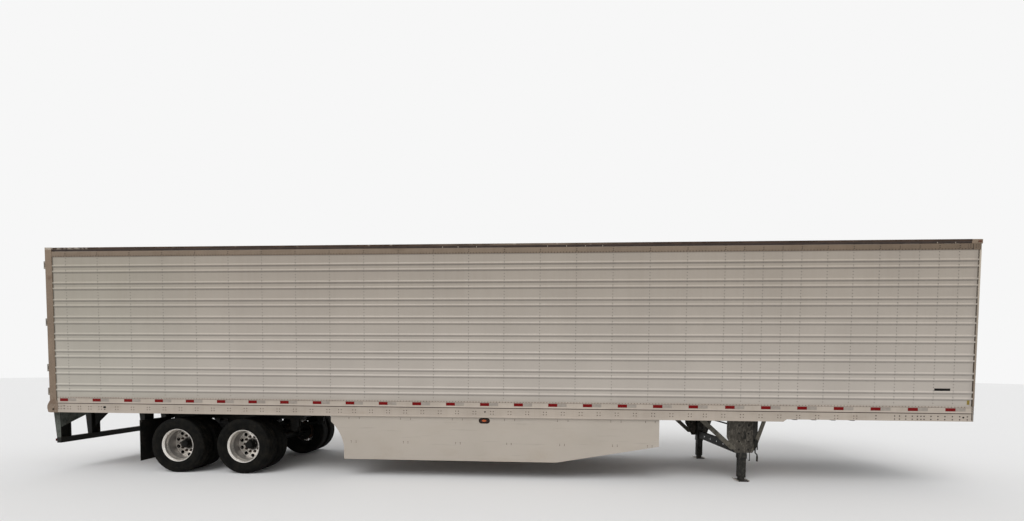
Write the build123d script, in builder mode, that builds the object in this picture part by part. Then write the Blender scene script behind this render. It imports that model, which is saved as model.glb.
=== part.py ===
"""A 53 ft dry van semi trailer with beaded aluminium sides, side skirts and a sliding tandem.

Millimetres. X runs forward, Y to the left, Z up. The origin is on the ground under the middle.
"""
import math
import os

from build123d import *

# Body
LENGTH = 16154
WIDTH = 2591
HEIGHT = 4085
HALF_LENGTH = LENGTH / 2
HALF_WIDTH = WIDTH / 2
REACH = 60  # bumpers behind the frame and couplings before the nose stand out as far
SIDES = (("right", -1), ("left", 1))

# Side walls: a flat skin with pairs of beads pressed outwards
SKIN = 1288
WALL = 45
WALL_INSIDE = SKIN - WALL
WALL_TOP = 4015
BEAD_PAIRS = 8
BEAD_PITCH = 308.3
BEAD_GAP = 103
BEAD_TOP = 3756
BEAD_RISE = 6
BEAD_HALF = 13
BEAD_CREST_HALF = 5
GROOVE_LENGTH = 18
GROOVE_DEPTH = 12

# Rails
TOP_RAIL_BAND = 3915
TOP_RAIL_DEPTH = 45.5
BOTTOM_RAIL_TOP = 1368
BOTTOM_RAIL_SEAM = 1256
BOTTOM_RAIL_LOW = 1080
BOTTOM_RAIL_FRONT_LOW = 1120
RAIL_STEP_X = 5041
RAIL_STEP_RUN = 55
BAND_THICK = 4.5
LIP_WIDTH = 20
LIP_THICK = 9

# Floor and roof
FLOOR_TOP = 1250
FLOOR_THICK = 38
FLOOR_LOW = FLOOR_TOP - FLOOR_THICK
CROSSMEMBER_HEIGHT = 102
CROSSMEMBER_LOW = FLOOR_LOW - CROSSMEMBER_HEIGHT
CROSSMEMBER_FLANGE = 60
CROSSMEMBER_COUNT = 46
CROSSMEMBER_FIRST_X = -7706
CROSSMEMBER_HALF = 1284
FLANGE_THICK = 8
WEB_THICK = 6
ROOF_LOW = 4052
ROOF_THICK = 14
BOW_DEPTH = 36
BOW_WIDTH = 40
BOW_COUNT = 26
BOW_PITCH = 616.5
BOW_FIRST_X = -7690

# Front end
FRONT_POST_LENGTH = 47
FRONT_POST_WIDTH = 70
FRONT_TOP_RAIL_LOW = 3987
FRONT_EDGE_RADIUS = 40
BROW_RADIUS = 22
CAP_LENGTH = 180
CAP_DEPTH = 115
CAP_REACH = 8
CAP_SIDE = 1290.5
CAP_RADIUS = 24
CAP_TOP_RADIUS = 12
CORNER_LAMP_X = 8030
CORNER_LAMP_Z = 4046
CORNER_LAMP_LENGTH = 60
CORNER_LAMP_HEIGHT = 26
FRONT_WALL_THICK = 34
NOSE_SET_BACK = 7
RIB_COUNT = 5
RIB_PITCH = 400
RIB_WIDTH = 60
RIB_RISE = 5

# Rear frame
POST_LENGTH = 132
POST_WIDTH = 75
POST_RECESS = 6
HEADER_LOW = 3930
SILL_LENGTH = 156
SILL_LOW = 1076
CASTING_TOP = 1295
CASTING_WIDTH = 62
# How far the casting's bulge stands behind the frame, at heights from its top to its foot
CASTING_BULGE = ((0, 1290), (14, 1270), (48, 1205), (50, 1150), (34, SILL_LOW + 8), (0, SILL_LOW))
BUMPERS_Y = (1110, 150)
BUMPER_WIDTH = 120
BUMPER_LOW = 1092
BUMPER_HIGH = 1232

# Rear doors
DOOR_GAP = 6
DOOR_THICK = 30
DOOR_MEET = 5
PIN_X = -HALF_LENGTH - 20
PIN_Y = 1286.5
KNUCKLE_R = 9
PIN_R = 4.5
PIN_CLEARANCE = 0.5
HINGES_Z = (3770, 2735, 1900, 1465)
STRAP_HEIGHT = 64
STRAP_THICK = 8
STRAP_END_Y = 1130
LUG_HEIGHT = 34
LUG_SPACE = 1.5
RODS_Y = (870, 480)
ROD_R = 13.5
ROD_STAND_OFF = 28
ROD_LOW = 1190
ROD_HIGH = 3985
GUIDES_Z = (1380, 1760, 2330, 2980, 3640)
GUIDE_SIZE = (70, 60, 42)  # width, height, stand-off
CAM_SIZE = (64, 50, 34)  # width, height, depth
KEEPER_BASE = 8
HANDLE_Z = 1560
HANDLE_LENGTH = 420
HANDLE_HEIGHT = 44
HANDLE_DEPTH = 14
CAM_SET = 4

# Rear guard
GUARD_REAR_X = -8030
GUARD_DEPTH = 82
GUARD_LOW = 503
GUARD_HIGH = 603
GUARD_HALF = 1232
# |Y| of each strut's outer and inner face, |Y| of its gusset's foot and tip, Z of the gusset's foot
STRUTS = ((1232, 1047, 1226, 787, 802), (670, 495, 600, 208, 740))
GUSSET_THICK = 10
STRUT_FLARE = 46  # how much longer a strut is at its top than at the bar
STRUT_WALL = 12
STRUT_HOLLOW = 60

# Side skirts
SKIRT_FACE = 1266
SKIRT_THICK = 8
SKIRT_TOP = 1092
SKIRT_REAR_X = -2767
SKIRT_REAR_ARC = ((-2767, 976), (-2592, 738), (-2531, 530))  # X, Z
SKIRT_CORNER_R = 40
SKIRT_LOW = 309
SKIRT_TAPER_X = 1247
SKIRT_FRONT_X = 3003
SKIRT_FRONT_LOW = 616
BRACKETS_X = (-2343, -1414, -488, 431, 1355, 2266, 2850)
BRACKET_WIDTH = 44
BRACKET_FOOT_Z = 640
BRACKET_REACH = 420
BRACKET_TAB = 60
BRACKET_BAR = 26
BRACKET_PLATE = (170, 12)  # half length, thickness

# Rear lamps
TOP_LAMPS_Y = (-1160, -200, 0, 200, 1160)
TOP_LAMP_WIDTH = 84
TOP_LAMP_HEIGHT = 26
TOP_LAMP_Z = 4034
STOP_LAMPS_Y = (985, 740)
STOP_LAMP_Z = 1165
STOP_LAMP_R = 50
LENS_DEPTH = 14

# Side marker lamp, in the skirt's top
LAMP_X = -12
LAMP_Z = 1024
LAMP_LENGTH = 156
LAMP_HEIGHT = 58
LAMP_DEPTH = 14

# Coupler
COUPLER_REAR_X = 6330
COUPLER_HALF = 1100
COUPLER_PLATE = 10
KINGPIN_SET_BACK = 914
KINGPIN_NECK_R = 25.4
KINGPIN_FLANGE_R = 35.7
KINGPIN_BASE_R = 47.7
KINGPIN_LENGTH = 84
CHANNELS_X = (6390, 6760, 7080, 7246, 7620, 7960)
CHANNEL_WIDTH = 50

# Landing gear
LEG_X = 4505
LEG_Y = 1000
LEG_SIZE = 112
HOUSING_SIZE = 124
HOUSING_LOW = 455
HOUSING_HIGH = CROSSMEMBER_LOW
FOOT_LENGTH = 214
FOOT_WIDTH = 214
FOOT_THICK = 12
FOOT_TURN_UP = 14
FOOT_FLAT = 160
LEG_LOW = 62
WING = ((4216, 1110), (4216, 772), (4362, 502), (4655, 502), (4738, 640), (4738, 1110))  # X, Z
WING_THICK = 8
BRACES = ((3740, 1110, 4340, 560, 118), (4852, 1110, 4668, 545, 70))  # top X, top Z, low X, low Z, width
CROSS_CHANNEL_LOW = 455
CROSS_CHANNEL_HIGH = 605
CROSS_CHANNEL_LENGTH = 70
CROSS_CHANNEL_WALL = 8
CROSS_HOLES_Y = (-620, -310, 0, 310, 620)
CROSS_HOLE_R = 20
SHAFT_Z = 930
SHAFT_R = 14
CRANK_OUT = 1175

# Running gear
AXLES = (("front", -4401.6), ("rear", -5646.4))
AXLE_Z = 500
TYRE_R = 500
TYRE_HALF = 138
DUAL_Y = 984
DUAL_OFFSET = 168
TYRE_OUTLINE = ((284, 100), (298.5, 106), (303, 119), (345, TYRE_HALF), (455, TYRE_HALF), (TYRE_R, 112))
RIM_OUTLINE = (
    (298.5, 118), (298.5, 106), (284, 100), (284, -100), (298.5, -106), (298.5, -118), (276, -118),
    (268, -150), (250, -168), (60, -168), (60, -146), (245, -146), (260, -130), (264, -95),
    (270, 104), (286, 118),
)
DISC_THICK = 22
HAND_HOLES = 10
HAND_HOLE_R = 31
HAND_HOLE_CIRCLE = 212
HUB_OUTLINE = ((45, 830), (84, 830), (84, 930), (190, 930), (190, 775), (208, 775), (208, 962), (60, 962),
               (60, 1006), (92, 1006), (92, 1032), (70, 1040), (70, 1118), (58, 1130), (0, 1130), (0, 1112),
               (45, 1112))
AXLE_R = 63.5
SPINDLE_R = 38
BRAKE_R = 176
CHAMBER_R = 82
CHAMBER_Y = 330
CHAMBER_RISE = 120
CHAMBER_REAR = -130
CHAMBER_FRONT = 60
CHAMBER_SEAT = 40
CHAMBER_BRACKET = 60
RAIL_Y = 520
BODY_RAIL = (-7900, -2950, 80, 1030)  # rear X, front X, width, low Z
BOGIE_RAIL = (-6420, -3650, 110, 925)
BOGIE_CROSS_X = (-3760, -5024, -6300)
HANGERS = ((-3842, 110), (-5024, 220), (-6206, 110))  # X, length
HANGER_LOW = 690
SPRING_HALF = 545
SPRING_END_Z = 742
SPRING_MIDDLE_Z = 650
SPRING_THICK = 56
SPRING_WIDTH = 76
HANGER_PLATE = 10
SEAT_LENGTH = 60
TANK_R = 110
TANK_HALF = 340
TANKS_X = (-4790, -5258)
TANK_Z = 880

# Mud flaps
FLAP_X = -6351
FLAP_THICK = 8
FLAP_OUT = 1284
FLAP_WIDTH = 608
FLAP_LOW = 205
FLAP_HIGH = 915
FLAP_BAR_HIGH = 955
FLAP_UPRIGHTS = ((1093, 196), (650, 148))  # middle |Y|, width
FLAP_PLATE = 12

# Front couplings
SOCKET_Z = 1470
SOCKET_R = 36
GLADHANDS_Y = (-150, 150)
GLADHAND_R = 30
COUPLING_PLATE = 10


def block(x, y, z, mode=Mode.ADD):
    """A box between two corners, given as (low, high) along each axis."""
    spans = [(min(pair), max(pair)) for pair in (x, y, z)]
    middle = [(low + high) / 2 for low, high in spans]
    size = [high - low for low, high in spans]
    with Locations(tuple(middle)):
        Box(*size, mode=mode)


def outline(points, plane):
    """A closed outline of straight lines on a plane."""
    with BuildSketch(plane) as shape:
        with BuildLine():
            Polyline(*points, close=True)
        make_face()
    return shape.sketch


def across(points, y, thick):
    """An X, Z outline made into a plate from y inwards, for either side."""
    inwards = -thick if y > 0 else thick
    extrude(outline(points, Plane.XZ.offset(-y)), amount=-inwards)


def lengthwise(points, x, length):
    """A Y, Z outline made into a bar from x forward."""
    extrude(outline(points, Plane.YZ.offset(x)), amount=length)


def rod(start, end, radius, mode=Mode.ADD):
    """A round bar between two points."""
    way = Vector(*end) - Vector(*start)
    with BuildSketch(Plane(origin=start, z_dir=way)) as section:
        Circle(radius)
    extrude(section.sketch, amount=way.length, mode=mode)


def turned(points, x, side):
    """A radius, |Y| outline turned about the wheel axis at x."""
    plane = Plane(origin=(x, 0, AXLE_Z), x_dir=(1, 0, 0), z_dir=(0, 0, side))
    revolve(outline(points, plane), axis=Axis((x, 0, AXLE_Z), (0, 1, 0)), revolution_arc=360)


def save(piece, name):
    """Labels a finished piece and writes it."""
    piece.part.label = name
    export_step(piece.part, f"parts/{name}.step")


os.makedirs("parts", exist_ok=True)
REAR_X = -HALF_LENGTH
FRONT_X = HALF_LENGTH
POST_FRONT_X = REAR_X + POST_LENGTH
FRONT_POST_X = FRONT_X - FRONT_POST_LENGTH
POST_INSIDE = HALF_WIDTH - POST_WIDTH
NOSE_INSIDE = HALF_WIDTH - FRONT_POST_WIDTH
EAVE = HALF_WIDTH - TOP_RAIL_DEPTH
CAP_REAR_X = FRONT_X + CAP_REACH - CAP_LENGTH
CAP_INSIDE = CAP_SIDE - CAP_DEPTH


def wall_outline(side):
    """The side wall's section: flat inside, beads outside."""
    points = [(WALL_INSIDE, FLOOR_TOP), (SKIN, FLOOR_TOP)]
    for pair in reversed(range(BEAD_PAIRS)):
        for drop in (BEAD_GAP, 0):
            middle = BEAD_TOP - pair * BEAD_PITCH - drop
            points += [
                (SKIN, middle - BEAD_HALF),
                (SKIN + BEAD_RISE, middle - BEAD_CREST_HALF),
                (SKIN + BEAD_RISE, middle + BEAD_CREST_HALF),
                (SKIN, middle + BEAD_HALF),
            ]
    points += [(SKIN, WALL_TOP), (WALL_INSIDE, WALL_TOP)]
    return [(side * y, z) for y, z in points]


for word, side in SIDES:
    with BuildPart() as side_wall:
        wall_end = FRONT_POST_X - GROOVE_LENGTH
        lengthwise(wall_outline(side), POST_FRONT_X, wall_end - POST_FRONT_X)
        groove = (side * WALL_INSIDE, side * (SKIN - GROOVE_DEPTH))
        block((wall_end, FRONT_POST_X), groove, (FLOOR_TOP, WALL_TOP))
    save(side_wall, f"side_wall_{word}")

with BuildPart() as top_rails:
    for word, side in SIDES:
        section = [
            (HALF_WIDTH, HEIGHT), (HALF_WIDTH, WALL_TOP), (SKIN + BAND_THICK, WALL_TOP),
            (SKIN + BAND_THICK, TOP_RAIL_BAND), (SKIN, TOP_RAIL_BAND), (SKIN, WALL_TOP),
            (EAVE, WALL_TOP), (EAVE, HEIGHT),
        ]
        lengthwise([(side * y, z) for y, z in section], POST_FRONT_X, CAP_REAR_X - POST_FRONT_X)
        band_end = FRONT_X - FRONT_EDGE_RADIUS
        block((CAP_REAR_X, band_end), (side * SKIN, side * (SKIN + BAND_THICK)), (TOP_RAIL_BAND, WALL_TOP))
save(top_rails, "top_rails")

with BuildPart() as bottom_rails:
    for word, side in SIDES:
        rail_end = REAR_X + SILL_LENGTH
        face = [
            (rail_end, BOTTOM_RAIL_LOW), (RAIL_STEP_X, BOTTOM_RAIL_LOW),
            (RAIL_STEP_X + RAIL_STEP_RUN, BOTTOM_RAIL_FRONT_LOW), (FRONT_POST_X, BOTTOM_RAIL_FRONT_LOW),
            (FRONT_POST_X, BOTTOM_RAIL_SEAM), (rail_end, BOTTOM_RAIL_SEAM),
        ]
        across(face, side * HALF_WIDTH, HALF_WIDTH - SKIN)
        block(
            (rail_end, FRONT_POST_X),
            (side * SKIN, side * (SKIN + BAND_THICK)),
            (BOTTOM_RAIL_SEAM, BOTTOM_RAIL_TOP),
        )
        lip = (side * (SKIN - LIP_WIDTH), side * SKIN)
        block((rail_end, RAIL_STEP_X), lip, (BOTTOM_RAIL_LOW, BOTTOM_RAIL_LOW + LIP_THICK))
save(bottom_rails, "bottom_rails")

with BuildPart() as roof:
    block((POST_FRONT_X, FRONT_POST_X), (-EAVE, EAVE), (ROOF_LOW, ROOF_LOW + ROOF_THICK))
save(roof, "roof")

with BuildPart() as roof_bows:
    for number in range(BOW_COUNT):
        x = BOW_FIRST_X + number * BOW_PITCH
        block((x - BOW_WIDTH / 2, x + BOW_WIDTH / 2), (-EAVE, EAVE), (ROOF_LOW - BOW_DEPTH, ROOF_LOW))
save(roof_bows, "roof_bows")


def corner_post(side, outer, low, high):
    """A stretch of a front post with its outer edge rounded."""
    radius = FRONT_EDGE_RADIUS
    turn = radius * (1 - math.sqrt(0.5))
    with BuildSketch(Plane.XY.offset(low)) as section:
        with BuildLine():
            Polyline(
                (FRONT_X, side * (outer - radius)), (FRONT_X, side * NOSE_INSIDE),
                (FRONT_POST_X, side * NOSE_INSIDE), (FRONT_POST_X, side * outer),
                (FRONT_X - radius, side * outer),
            )
            ThreePointArc(
                (FRONT_X - radius, side * outer), (FRONT_X - turn, side * (outer - turn)),
                (FRONT_X, side * (outer - radius)),
            )
        make_face()
    extrude(section.sketch, amount=high - low)


with BuildPart() as front_frame:
    posts = (FRONT_POST_X, FRONT_X)
    for word, side in SIDES:
        corner_post(side, HALF_WIDTH, BOTTOM_RAIL_FRONT_LOW, TOP_RAIL_BAND)
        corner_post(side, SKIN, TOP_RAIL_BAND, WALL_TOP)
    block(posts, (-NOSE_INSIDE, NOSE_INSIDE), (FRONT_TOP_RAIL_LOW, WALL_TOP))
    block(posts, (-CAP_INSIDE, CAP_INSIDE), (WALL_TOP, HEIGHT))
    block(posts, (-NOSE_INSIDE, NOSE_INSIDE), (BOTTOM_RAIL_FRONT_LOW, BOTTOM_RAIL_TOP))
    brow = front_frame.edges().filter_by(Axis.Y).group_by(Axis.Z)[-1].sort_by(Axis.X)[-1:]
    fillet(brow, radius=BROW_RADIUS)
save(front_frame, "front_frame")

with BuildPart() as corner_caps:
    for word, side in SIDES:
        nose_part = (FRONT_POST_X, FRONT_X + CAP_REACH)
        block(nose_part, (side * CAP_INSIDE, side * CAP_SIDE), (WALL_TOP, HEIGHT))
        block((CAP_REAR_X, FRONT_POST_X), (side * EAVE, side * CAP_SIDE), (WALL_TOP, HEIGHT))
    upright = corner_caps.edges().filter_by(Axis.Z).group_by(Axis.X)[-1]
    fillet([e for e in upright if abs(e.center().Y) > CAP_SIDE - 1], radius=CAP_RADIUS)
    top_edges = corner_caps.edges().group_by(Axis.Z)[-1]
    fillet([e for e in top_edges if e.center().X > FRONT_X or abs(e.center().Y) > CAP_SIDE - 1],
           radius=CAP_TOP_RADIUS)
save(corner_caps, "corner_caps")

with BuildPart() as corner_lamps:
    for word, side in SIDES:
        with BuildSketch(Plane.XZ.offset(-side * CAP_SIDE)) as lens:
            with Locations((CORNER_LAMP_X, CORNER_LAMP_Z)):
                SlotOverall(CORNER_LAMP_LENGTH, CORNER_LAMP_HEIGHT)
        extrude(lens.sketch, amount=-side * (HALF_WIDTH - CAP_SIDE))
save(corner_lamps, "corner_lamps")

with BuildPart() as front_wall:
    wall_x = FRONT_X - NOSE_SET_BACK
    height = (BOTTOM_RAIL_TOP, FRONT_TOP_RAIL_LOW)
    block((wall_x - FRONT_WALL_THICK, wall_x), (-NOSE_INSIDE, NOSE_INSIDE), height)
    for number in range(RIB_COUNT):
        y = (number - (RIB_COUNT - 1) / 2) * RIB_PITCH
        half = RIB_WIDTH / 2
        block((wall_x, wall_x + RIB_RISE), (y - half, y + half), height)
save(front_wall, "front_wall")

with BuildPart() as floor:
    block((REAR_X + SILL_LENGTH, FRONT_POST_X), (-SKIN, SKIN), (FLOOR_LOW, FLOOR_TOP))
save(floor, "floor")

with BuildPart() as crossmembers:
    half_flange = CROSSMEMBER_FLANGE / 2
    half_web = WEB_THICK / 2
    for number in range(CROSSMEMBER_COUNT):
        x = CROSSMEMBER_FIRST_X + number * BEAD_PITCH
        quarter = [
            (half_flange, CROSSMEMBER_LOW), (half_flange, CROSSMEMBER_LOW + FLANGE_THICK),
            (half_web, CROSSMEMBER_LOW + FLANGE_THICK), (half_web, FLOOR_LOW - FLANGE_THICK),
            (half_flange, FLOOR_LOW - FLANGE_THICK), (half_flange, FLOOR_LOW),
        ]
        beam = [(x + dx, z) for dx, z in quarter] + [(x - dx, z) for dx, z in reversed(quarter)]
        across(beam, CROSSMEMBER_HALF, 2 * CROSSMEMBER_HALF)
save(crossmembers, "crossmembers")

KINGPIN_X = FRONT_X - KINGPIN_SET_BACK

with BuildPart() as upper_coupler:
    block((COUPLER_REAR_X, FRONT_POST_X), (-COUPLER_HALF, COUPLER_HALF),
          (CROSSMEMBER_LOW, CROSSMEMBER_LOW + COUPLER_PLATE))
    for x in CHANNELS_X:
        half = CHANNEL_WIDTH / 2
        block((x - half, x + half), (-COUPLER_HALF, COUPLER_HALF), (CROSSMEMBER_LOW, FLOOR_LOW))
    under, over = (KINGPIN_X, 0, CROSSMEMBER_LOW), (KINGPIN_X, 0, CROSSMEMBER_LOW + COUPLER_PLATE)
    rod(under, over, KINGPIN_BASE_R, Mode.SUBTRACT)
save(upper_coupler, "upper_coupler")

with BuildPart() as kingpin:
    low = CROSSMEMBER_LOW - KINGPIN_LENGTH
    stations = [
        (0, low), (KINGPIN_FLANGE_R - 3, low), (KINGPIN_FLANGE_R, low + 3), (KINGPIN_FLANGE_R, low + 18),
        (KINGPIN_NECK_R, low + 24), (KINGPIN_NECK_R, low + 60), (KINGPIN_FLANGE_R, low + 68),
        (KINGPIN_BASE_R, CROSSMEMBER_LOW), (KINGPIN_BASE_R, CROSSMEMBER_LOW + COUPLER_PLATE),
        (0, CROSSMEMBER_LOW + COUPLER_PLATE),
    ]
    upright = Plane(origin=(KINGPIN_X, 0, 0), x_dir=(1, 0, 0), z_dir=(0, -1, 0))
    revolve(outline(stations, upright), axis=Axis((KINGPIN_X, 0, 0), (0, 0, 1)), revolution_arc=360)
save(kingpin, "kingpin")

with BuildPart() as rear_posts:
    for word, side in SIDES:
        block(
            (REAR_X + POST_RECESS, POST_FRONT_X),
            (side * POST_INSIDE, side * HALF_WIDTH),
            (CASTING_TOP, HEIGHT),
        )
        block(
            (REAR_X + POST_RECESS, POST_FRONT_X),
            (side * POST_INSIDE, side * (HALF_WIDTH - CASTING_WIDTH)),
            (FLOOR_TOP, CASTING_TOP),
        )
save(rear_posts, "rear_posts")

with BuildPart() as rear_header:
    block((REAR_X, POST_FRONT_X), (-POST_INSIDE, POST_INSIDE), (HEADER_LOW, HEIGHT))
save(rear_header, "rear_header")

with BuildPart() as rear_sill:
    block((REAR_X, REAR_X + SILL_LENGTH), (-HALF_WIDTH, HALF_WIDTH), (SILL_LOW, FLOOR_TOP))
    for word, side in SIDES:
        block(
            (REAR_X + POST_RECESS, POST_FRONT_X),
            (side * (HALF_WIDTH - CASTING_WIDTH), side * HALF_WIDTH),
            (FLOOR_TOP, CASTING_TOP),
        )
        sill_end = (POST_FRONT_X, REAR_X + SILL_LENGTH)
        block(sill_end, (side * SKIN, side * HALF_WIDTH), (FLOOR_TOP, CASTING_TOP))
        bulge = [(REAR_X + POST_RECESS, CASTING_TOP)] + [(REAR_X - out, z) for out, z in CASTING_BULGE]
        across(bulge + [(REAR_X + POST_RECESS, SILL_LOW)], side * HALF_WIDTH, CASTING_WIDTH)
save(rear_sill, "rear_sill")

with BuildPart() as dock_bumpers:
    for y in BUMPERS_Y:
        for word, side in SIDES:
            half = BUMPER_WIDTH / 2
            block((REAR_X - REACH, REAR_X), (side * y - half, side * y + half), (BUMPER_LOW, BUMPER_HIGH))
save(dock_bumpers, "dock_bumpers")

with BuildPart() as rear_guard:
    front = GUARD_REAR_X + GUARD_DEPTH
    block((GUARD_REAR_X, front), (-GUARD_HALF, GUARD_HALF), (GUARD_LOW, GUARD_HIGH))
    for word, side in SIDES:
        for outer, inner, foot, tip, foot_z in STRUTS:
            strut = [
                (GUARD_REAR_X, GUARD_HIGH), (front, GUARD_HIGH), (front, SILL_LOW),
                (GUARD_REAR_X - STRUT_FLARE, SILL_LOW),
            ]
            across(strut, side * outer, outer - inner)
            hollow = (side * (outer - STRUT_WALL), side * (inner + STRUT_WALL))
            block((front - STRUT_HOLLOW, front), hollow, (GUARD_HIGH, SILL_LOW - STRUT_WALL), Mode.SUBTRACT)
            gusset = [(side * foot, SILL_LOW), (side * tip, SILL_LOW), (side * foot, foot_z)]
            lengthwise(gusset, front, GUSSET_THICK)
save(rear_guard, "rear_guard")

for word, side in SIDES:
    with BuildPart() as skirt:
        plane = Plane.XZ.offset(-side * SKIRT_FACE)
        with BuildSketch(plane) as panel:
            with BuildLine():
                arc_top, arc_middle, arc_low = SKIRT_REAR_ARC
                ThreePointArc(arc_top, arc_middle, arc_low)
                Polyline(
                    arc_low, (arc_low[0], SKIRT_LOW), (SKIRT_TAPER_X, SKIRT_LOW),
                    (SKIRT_FRONT_X, SKIRT_FRONT_LOW), (SKIRT_FRONT_X, SKIRT_TOP),
                    (SKIRT_REAR_X, SKIRT_TOP), arc_top,
                )
            make_face()
            corner = panel.vertices().group_by(Axis.Z)[0].sort_by(Axis.X)[:1]
            fillet(corner, radius=SKIRT_CORNER_R)
        extrude(panel.sketch, amount=SKIRT_THICK * side)
        with BuildSketch(plane) as window:
            with Locations((LAMP_X, LAMP_Z)):
                SlotOverall(LAMP_LENGTH + 40, LAMP_HEIGHT + 34)
        extrude(window.sketch, amount=SKIRT_THICK * side, mode=Mode.SUBTRACT)
    save(skirt, f"skirt_{word}")

with BuildPart() as skirt_brackets:
    face = SKIRT_FACE - SKIRT_THICK
    inner = face - BRACKET_REACH
    for word, side in SIDES:
        for x in BRACKETS_X:
            strut = [
                (face, CROSSMEMBER_LOW), (face, BRACKET_FOOT_Z), (face - BRACKET_BAR, BRACKET_FOOT_Z),
                (inner, CROSSMEMBER_LOW - BRACKET_BAR), (inner, CROSSMEMBER_LOW),
            ]
            hollow = [
                (face - BRACKET_BAR, CROSSMEMBER_LOW - BRACKET_BAR),
                (face - BRACKET_BAR, BRACKET_FOOT_Z + 2 * BRACKET_BAR),
                (inner + 2 * BRACKET_BAR, CROSSMEMBER_LOW - BRACKET_BAR),
            ]
            start = x - BRACKET_WIDTH / 2
            lengthwise([(side * y, z) for y, z in strut], start, BRACKET_WIDTH)
            gap = outline([(side * y, z) for y, z in hollow], Plane.YZ.offset(start))
            extrude(gap, amount=BRACKET_WIDTH, mode=Mode.SUBTRACT)
            half, thick = BRACKET_PLATE
            reach = (side * inner, side * (inner + BRACKET_TAB))
            block((x - half, x + half), reach, (CROSSMEMBER_LOW - thick, CROSSMEMBER_LOW))
save(skirt_brackets, "skirt_brackets")

with BuildPart() as landing_legs:
    for word, side in SIDES:
        tube, housing = (LEG_SIZE, LEG_LOW, HOUSING_LOW), (HOUSING_SIZE, HOUSING_LOW, HOUSING_HIGH)
        for size, low, high in (tube, housing):
            half = size / 2
            middle = side * LEG_Y
            block((LEG_X - half, LEG_X + half), (middle - half, middle + half), (low, high))
save(landing_legs, "landing_legs")

with BuildPart() as landing_feet:
    for word, side in SIDES:
        middle = side * LEG_Y
        flat = FOOT_FLAT / 2
        end = FOOT_LENGTH / 2
        pad = [
            (-flat, 0), (flat, 0), (end, FOOT_TURN_UP), (end - 6, FOOT_TURN_UP + FOOT_THICK),
            (flat - 4, FOOT_THICK), (4 - flat, FOOT_THICK), (6 - end, FOOT_TURN_UP + FOOT_THICK),
            (-end, FOOT_TURN_UP),
        ]
        across([(LEG_X + x, z) for x, z in pad], middle + side * FOOT_WIDTH / 2, FOOT_WIDTH)
        block((LEG_X - 40, LEG_X + 40), (middle - 45, middle + 45), (FOOT_THICK, LEG_LOW))
save(landing_feet, "landing_feet")

WING_FACE = LEG_Y + HOUSING_SIZE / 2 + WING_THICK

with BuildPart() as leg_mounts:
    for word, side in SIDES:
        across(WING, side * WING_FACE, WING_THICK)
save(leg_mounts, "leg_mounts")

with BuildPart() as leg_braces:
    for word, side in SIDES:
        for top_x, top_z, low_x, low_z, width in BRACES:
            half = width / 2
            bar = [
                (top_x - half, top_z), (top_x + half, top_z),
                (low_x + half, low_z), (low_x - half, low_z),
            ]
            across(bar, side * (WING_FACE + WING_THICK), WING_THICK)
save(leg_braces, "leg_braces")

with BuildPart() as cross_channel:
    half = CROSS_CHANNEL_LENGTH / 2
    inner = LEG_Y - HOUSING_SIZE / 2
    wall = CROSS_CHANNEL_WALL
    block((LEG_X - half, LEG_X + half), (-inner, inner), (CROSS_CHANNEL_LOW, CROSS_CHANNEL_HIGH))
    block(
        (LEG_X - half + wall, LEG_X + half), (-inner, inner),
        (CROSS_CHANNEL_LOW + wall, CROSS_CHANNEL_HIGH - wall), Mode.SUBTRACT,
    )
    hole_z = (CROSS_CHANNEL_LOW + CROSS_CHANNEL_HIGH) / 2
    for y in CROSS_HOLES_Y:
        rod((LEG_X - half, y, hole_z), (LEG_X - half + wall, y, hole_z), CROSS_HOLE_R, Mode.SUBTRACT)
save(cross_channel, "cross_channel")

with BuildPart() as leg_drive:
    inner = LEG_Y - HOUSING_SIZE / 2
    rod((LEG_X, -inner, SHAFT_Z), (LEG_X, inner, SHAFT_Z), SHAFT_R)
    outer = WING_FACE + WING_THICK
    block((LEG_X - 60, LEG_X + 60), (outer, outer + 70), (SHAFT_Z - 90, SHAFT_Z + 50))
    rod((LEG_X, outer + 70, SHAFT_Z), (LEG_X, CRANK_OUT, SHAFT_Z), 12)
    rod((LEG_X, CRANK_OUT, SHAFT_Z + 12), (LEG_X, CRANK_OUT, SHAFT_Z - 330), 11)
    rod((LEG_X, CRANK_OUT, SHAFT_Z - 330), (LEG_X, CRANK_OUT + 110, SHAFT_Z - 330), 13)
save(leg_drive, "leg_drive")

with BuildPart() as slider_rails:
    rear, front, width, low = BODY_RAIL
    for word, side in SIDES:
        middle = side * RAIL_Y
        block((rear, front), (middle - width / 2, middle + width / 2), (low, CROSSMEMBER_LOW))
save(slider_rails, "slider_rails")

with BuildPart() as bogie_frame:
    rear, front, width, low = BOGIE_RAIL
    top = BODY_RAIL[3]
    inner = RAIL_Y - width / 2
    for word, side in SIDES:
        middle = side * RAIL_Y
        block((rear, front), (middle - width / 2, middle + width / 2), (low, top))
    for x in BOGIE_CROSS_X:
        block((x - 45, x + 45), (-inner, inner), (low + 15, top - 15))
    for x in TANKS_X:
        block((x - 40, x + 40), (-inner, inner), (TANK_Z + TANK_R, TANK_Z + TANK_R + 24))
save(bogie_frame, "bogie_frame")

with BuildPart() as spring_hangers:
    for word, side in SIDES:
        for x, length in HANGERS:
            half = length / 2
            plate = [
                (x - half - 30, BOGIE_RAIL[3]), (x - half, HANGER_LOW), (x + half, HANGER_LOW),
                (x + half + 30, BOGIE_RAIL[3]),
            ]
            outer = RAIL_Y + BOGIE_RAIL[2] / 2
            inner = RAIL_Y - BOGIE_RAIL[2] / 2
            across(plate, side * outer, HANGER_PLATE)
            across(plate, side * (inner + HANGER_PLATE), HANGER_PLATE)
            pad_z = SPRING_END_Z + SPRING_THICK / 2
            block((x - half, x + half), (side * inner, side * outer), (pad_z, BOGIE_RAIL[3]))
save(spring_hangers, "spring_hangers")

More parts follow.
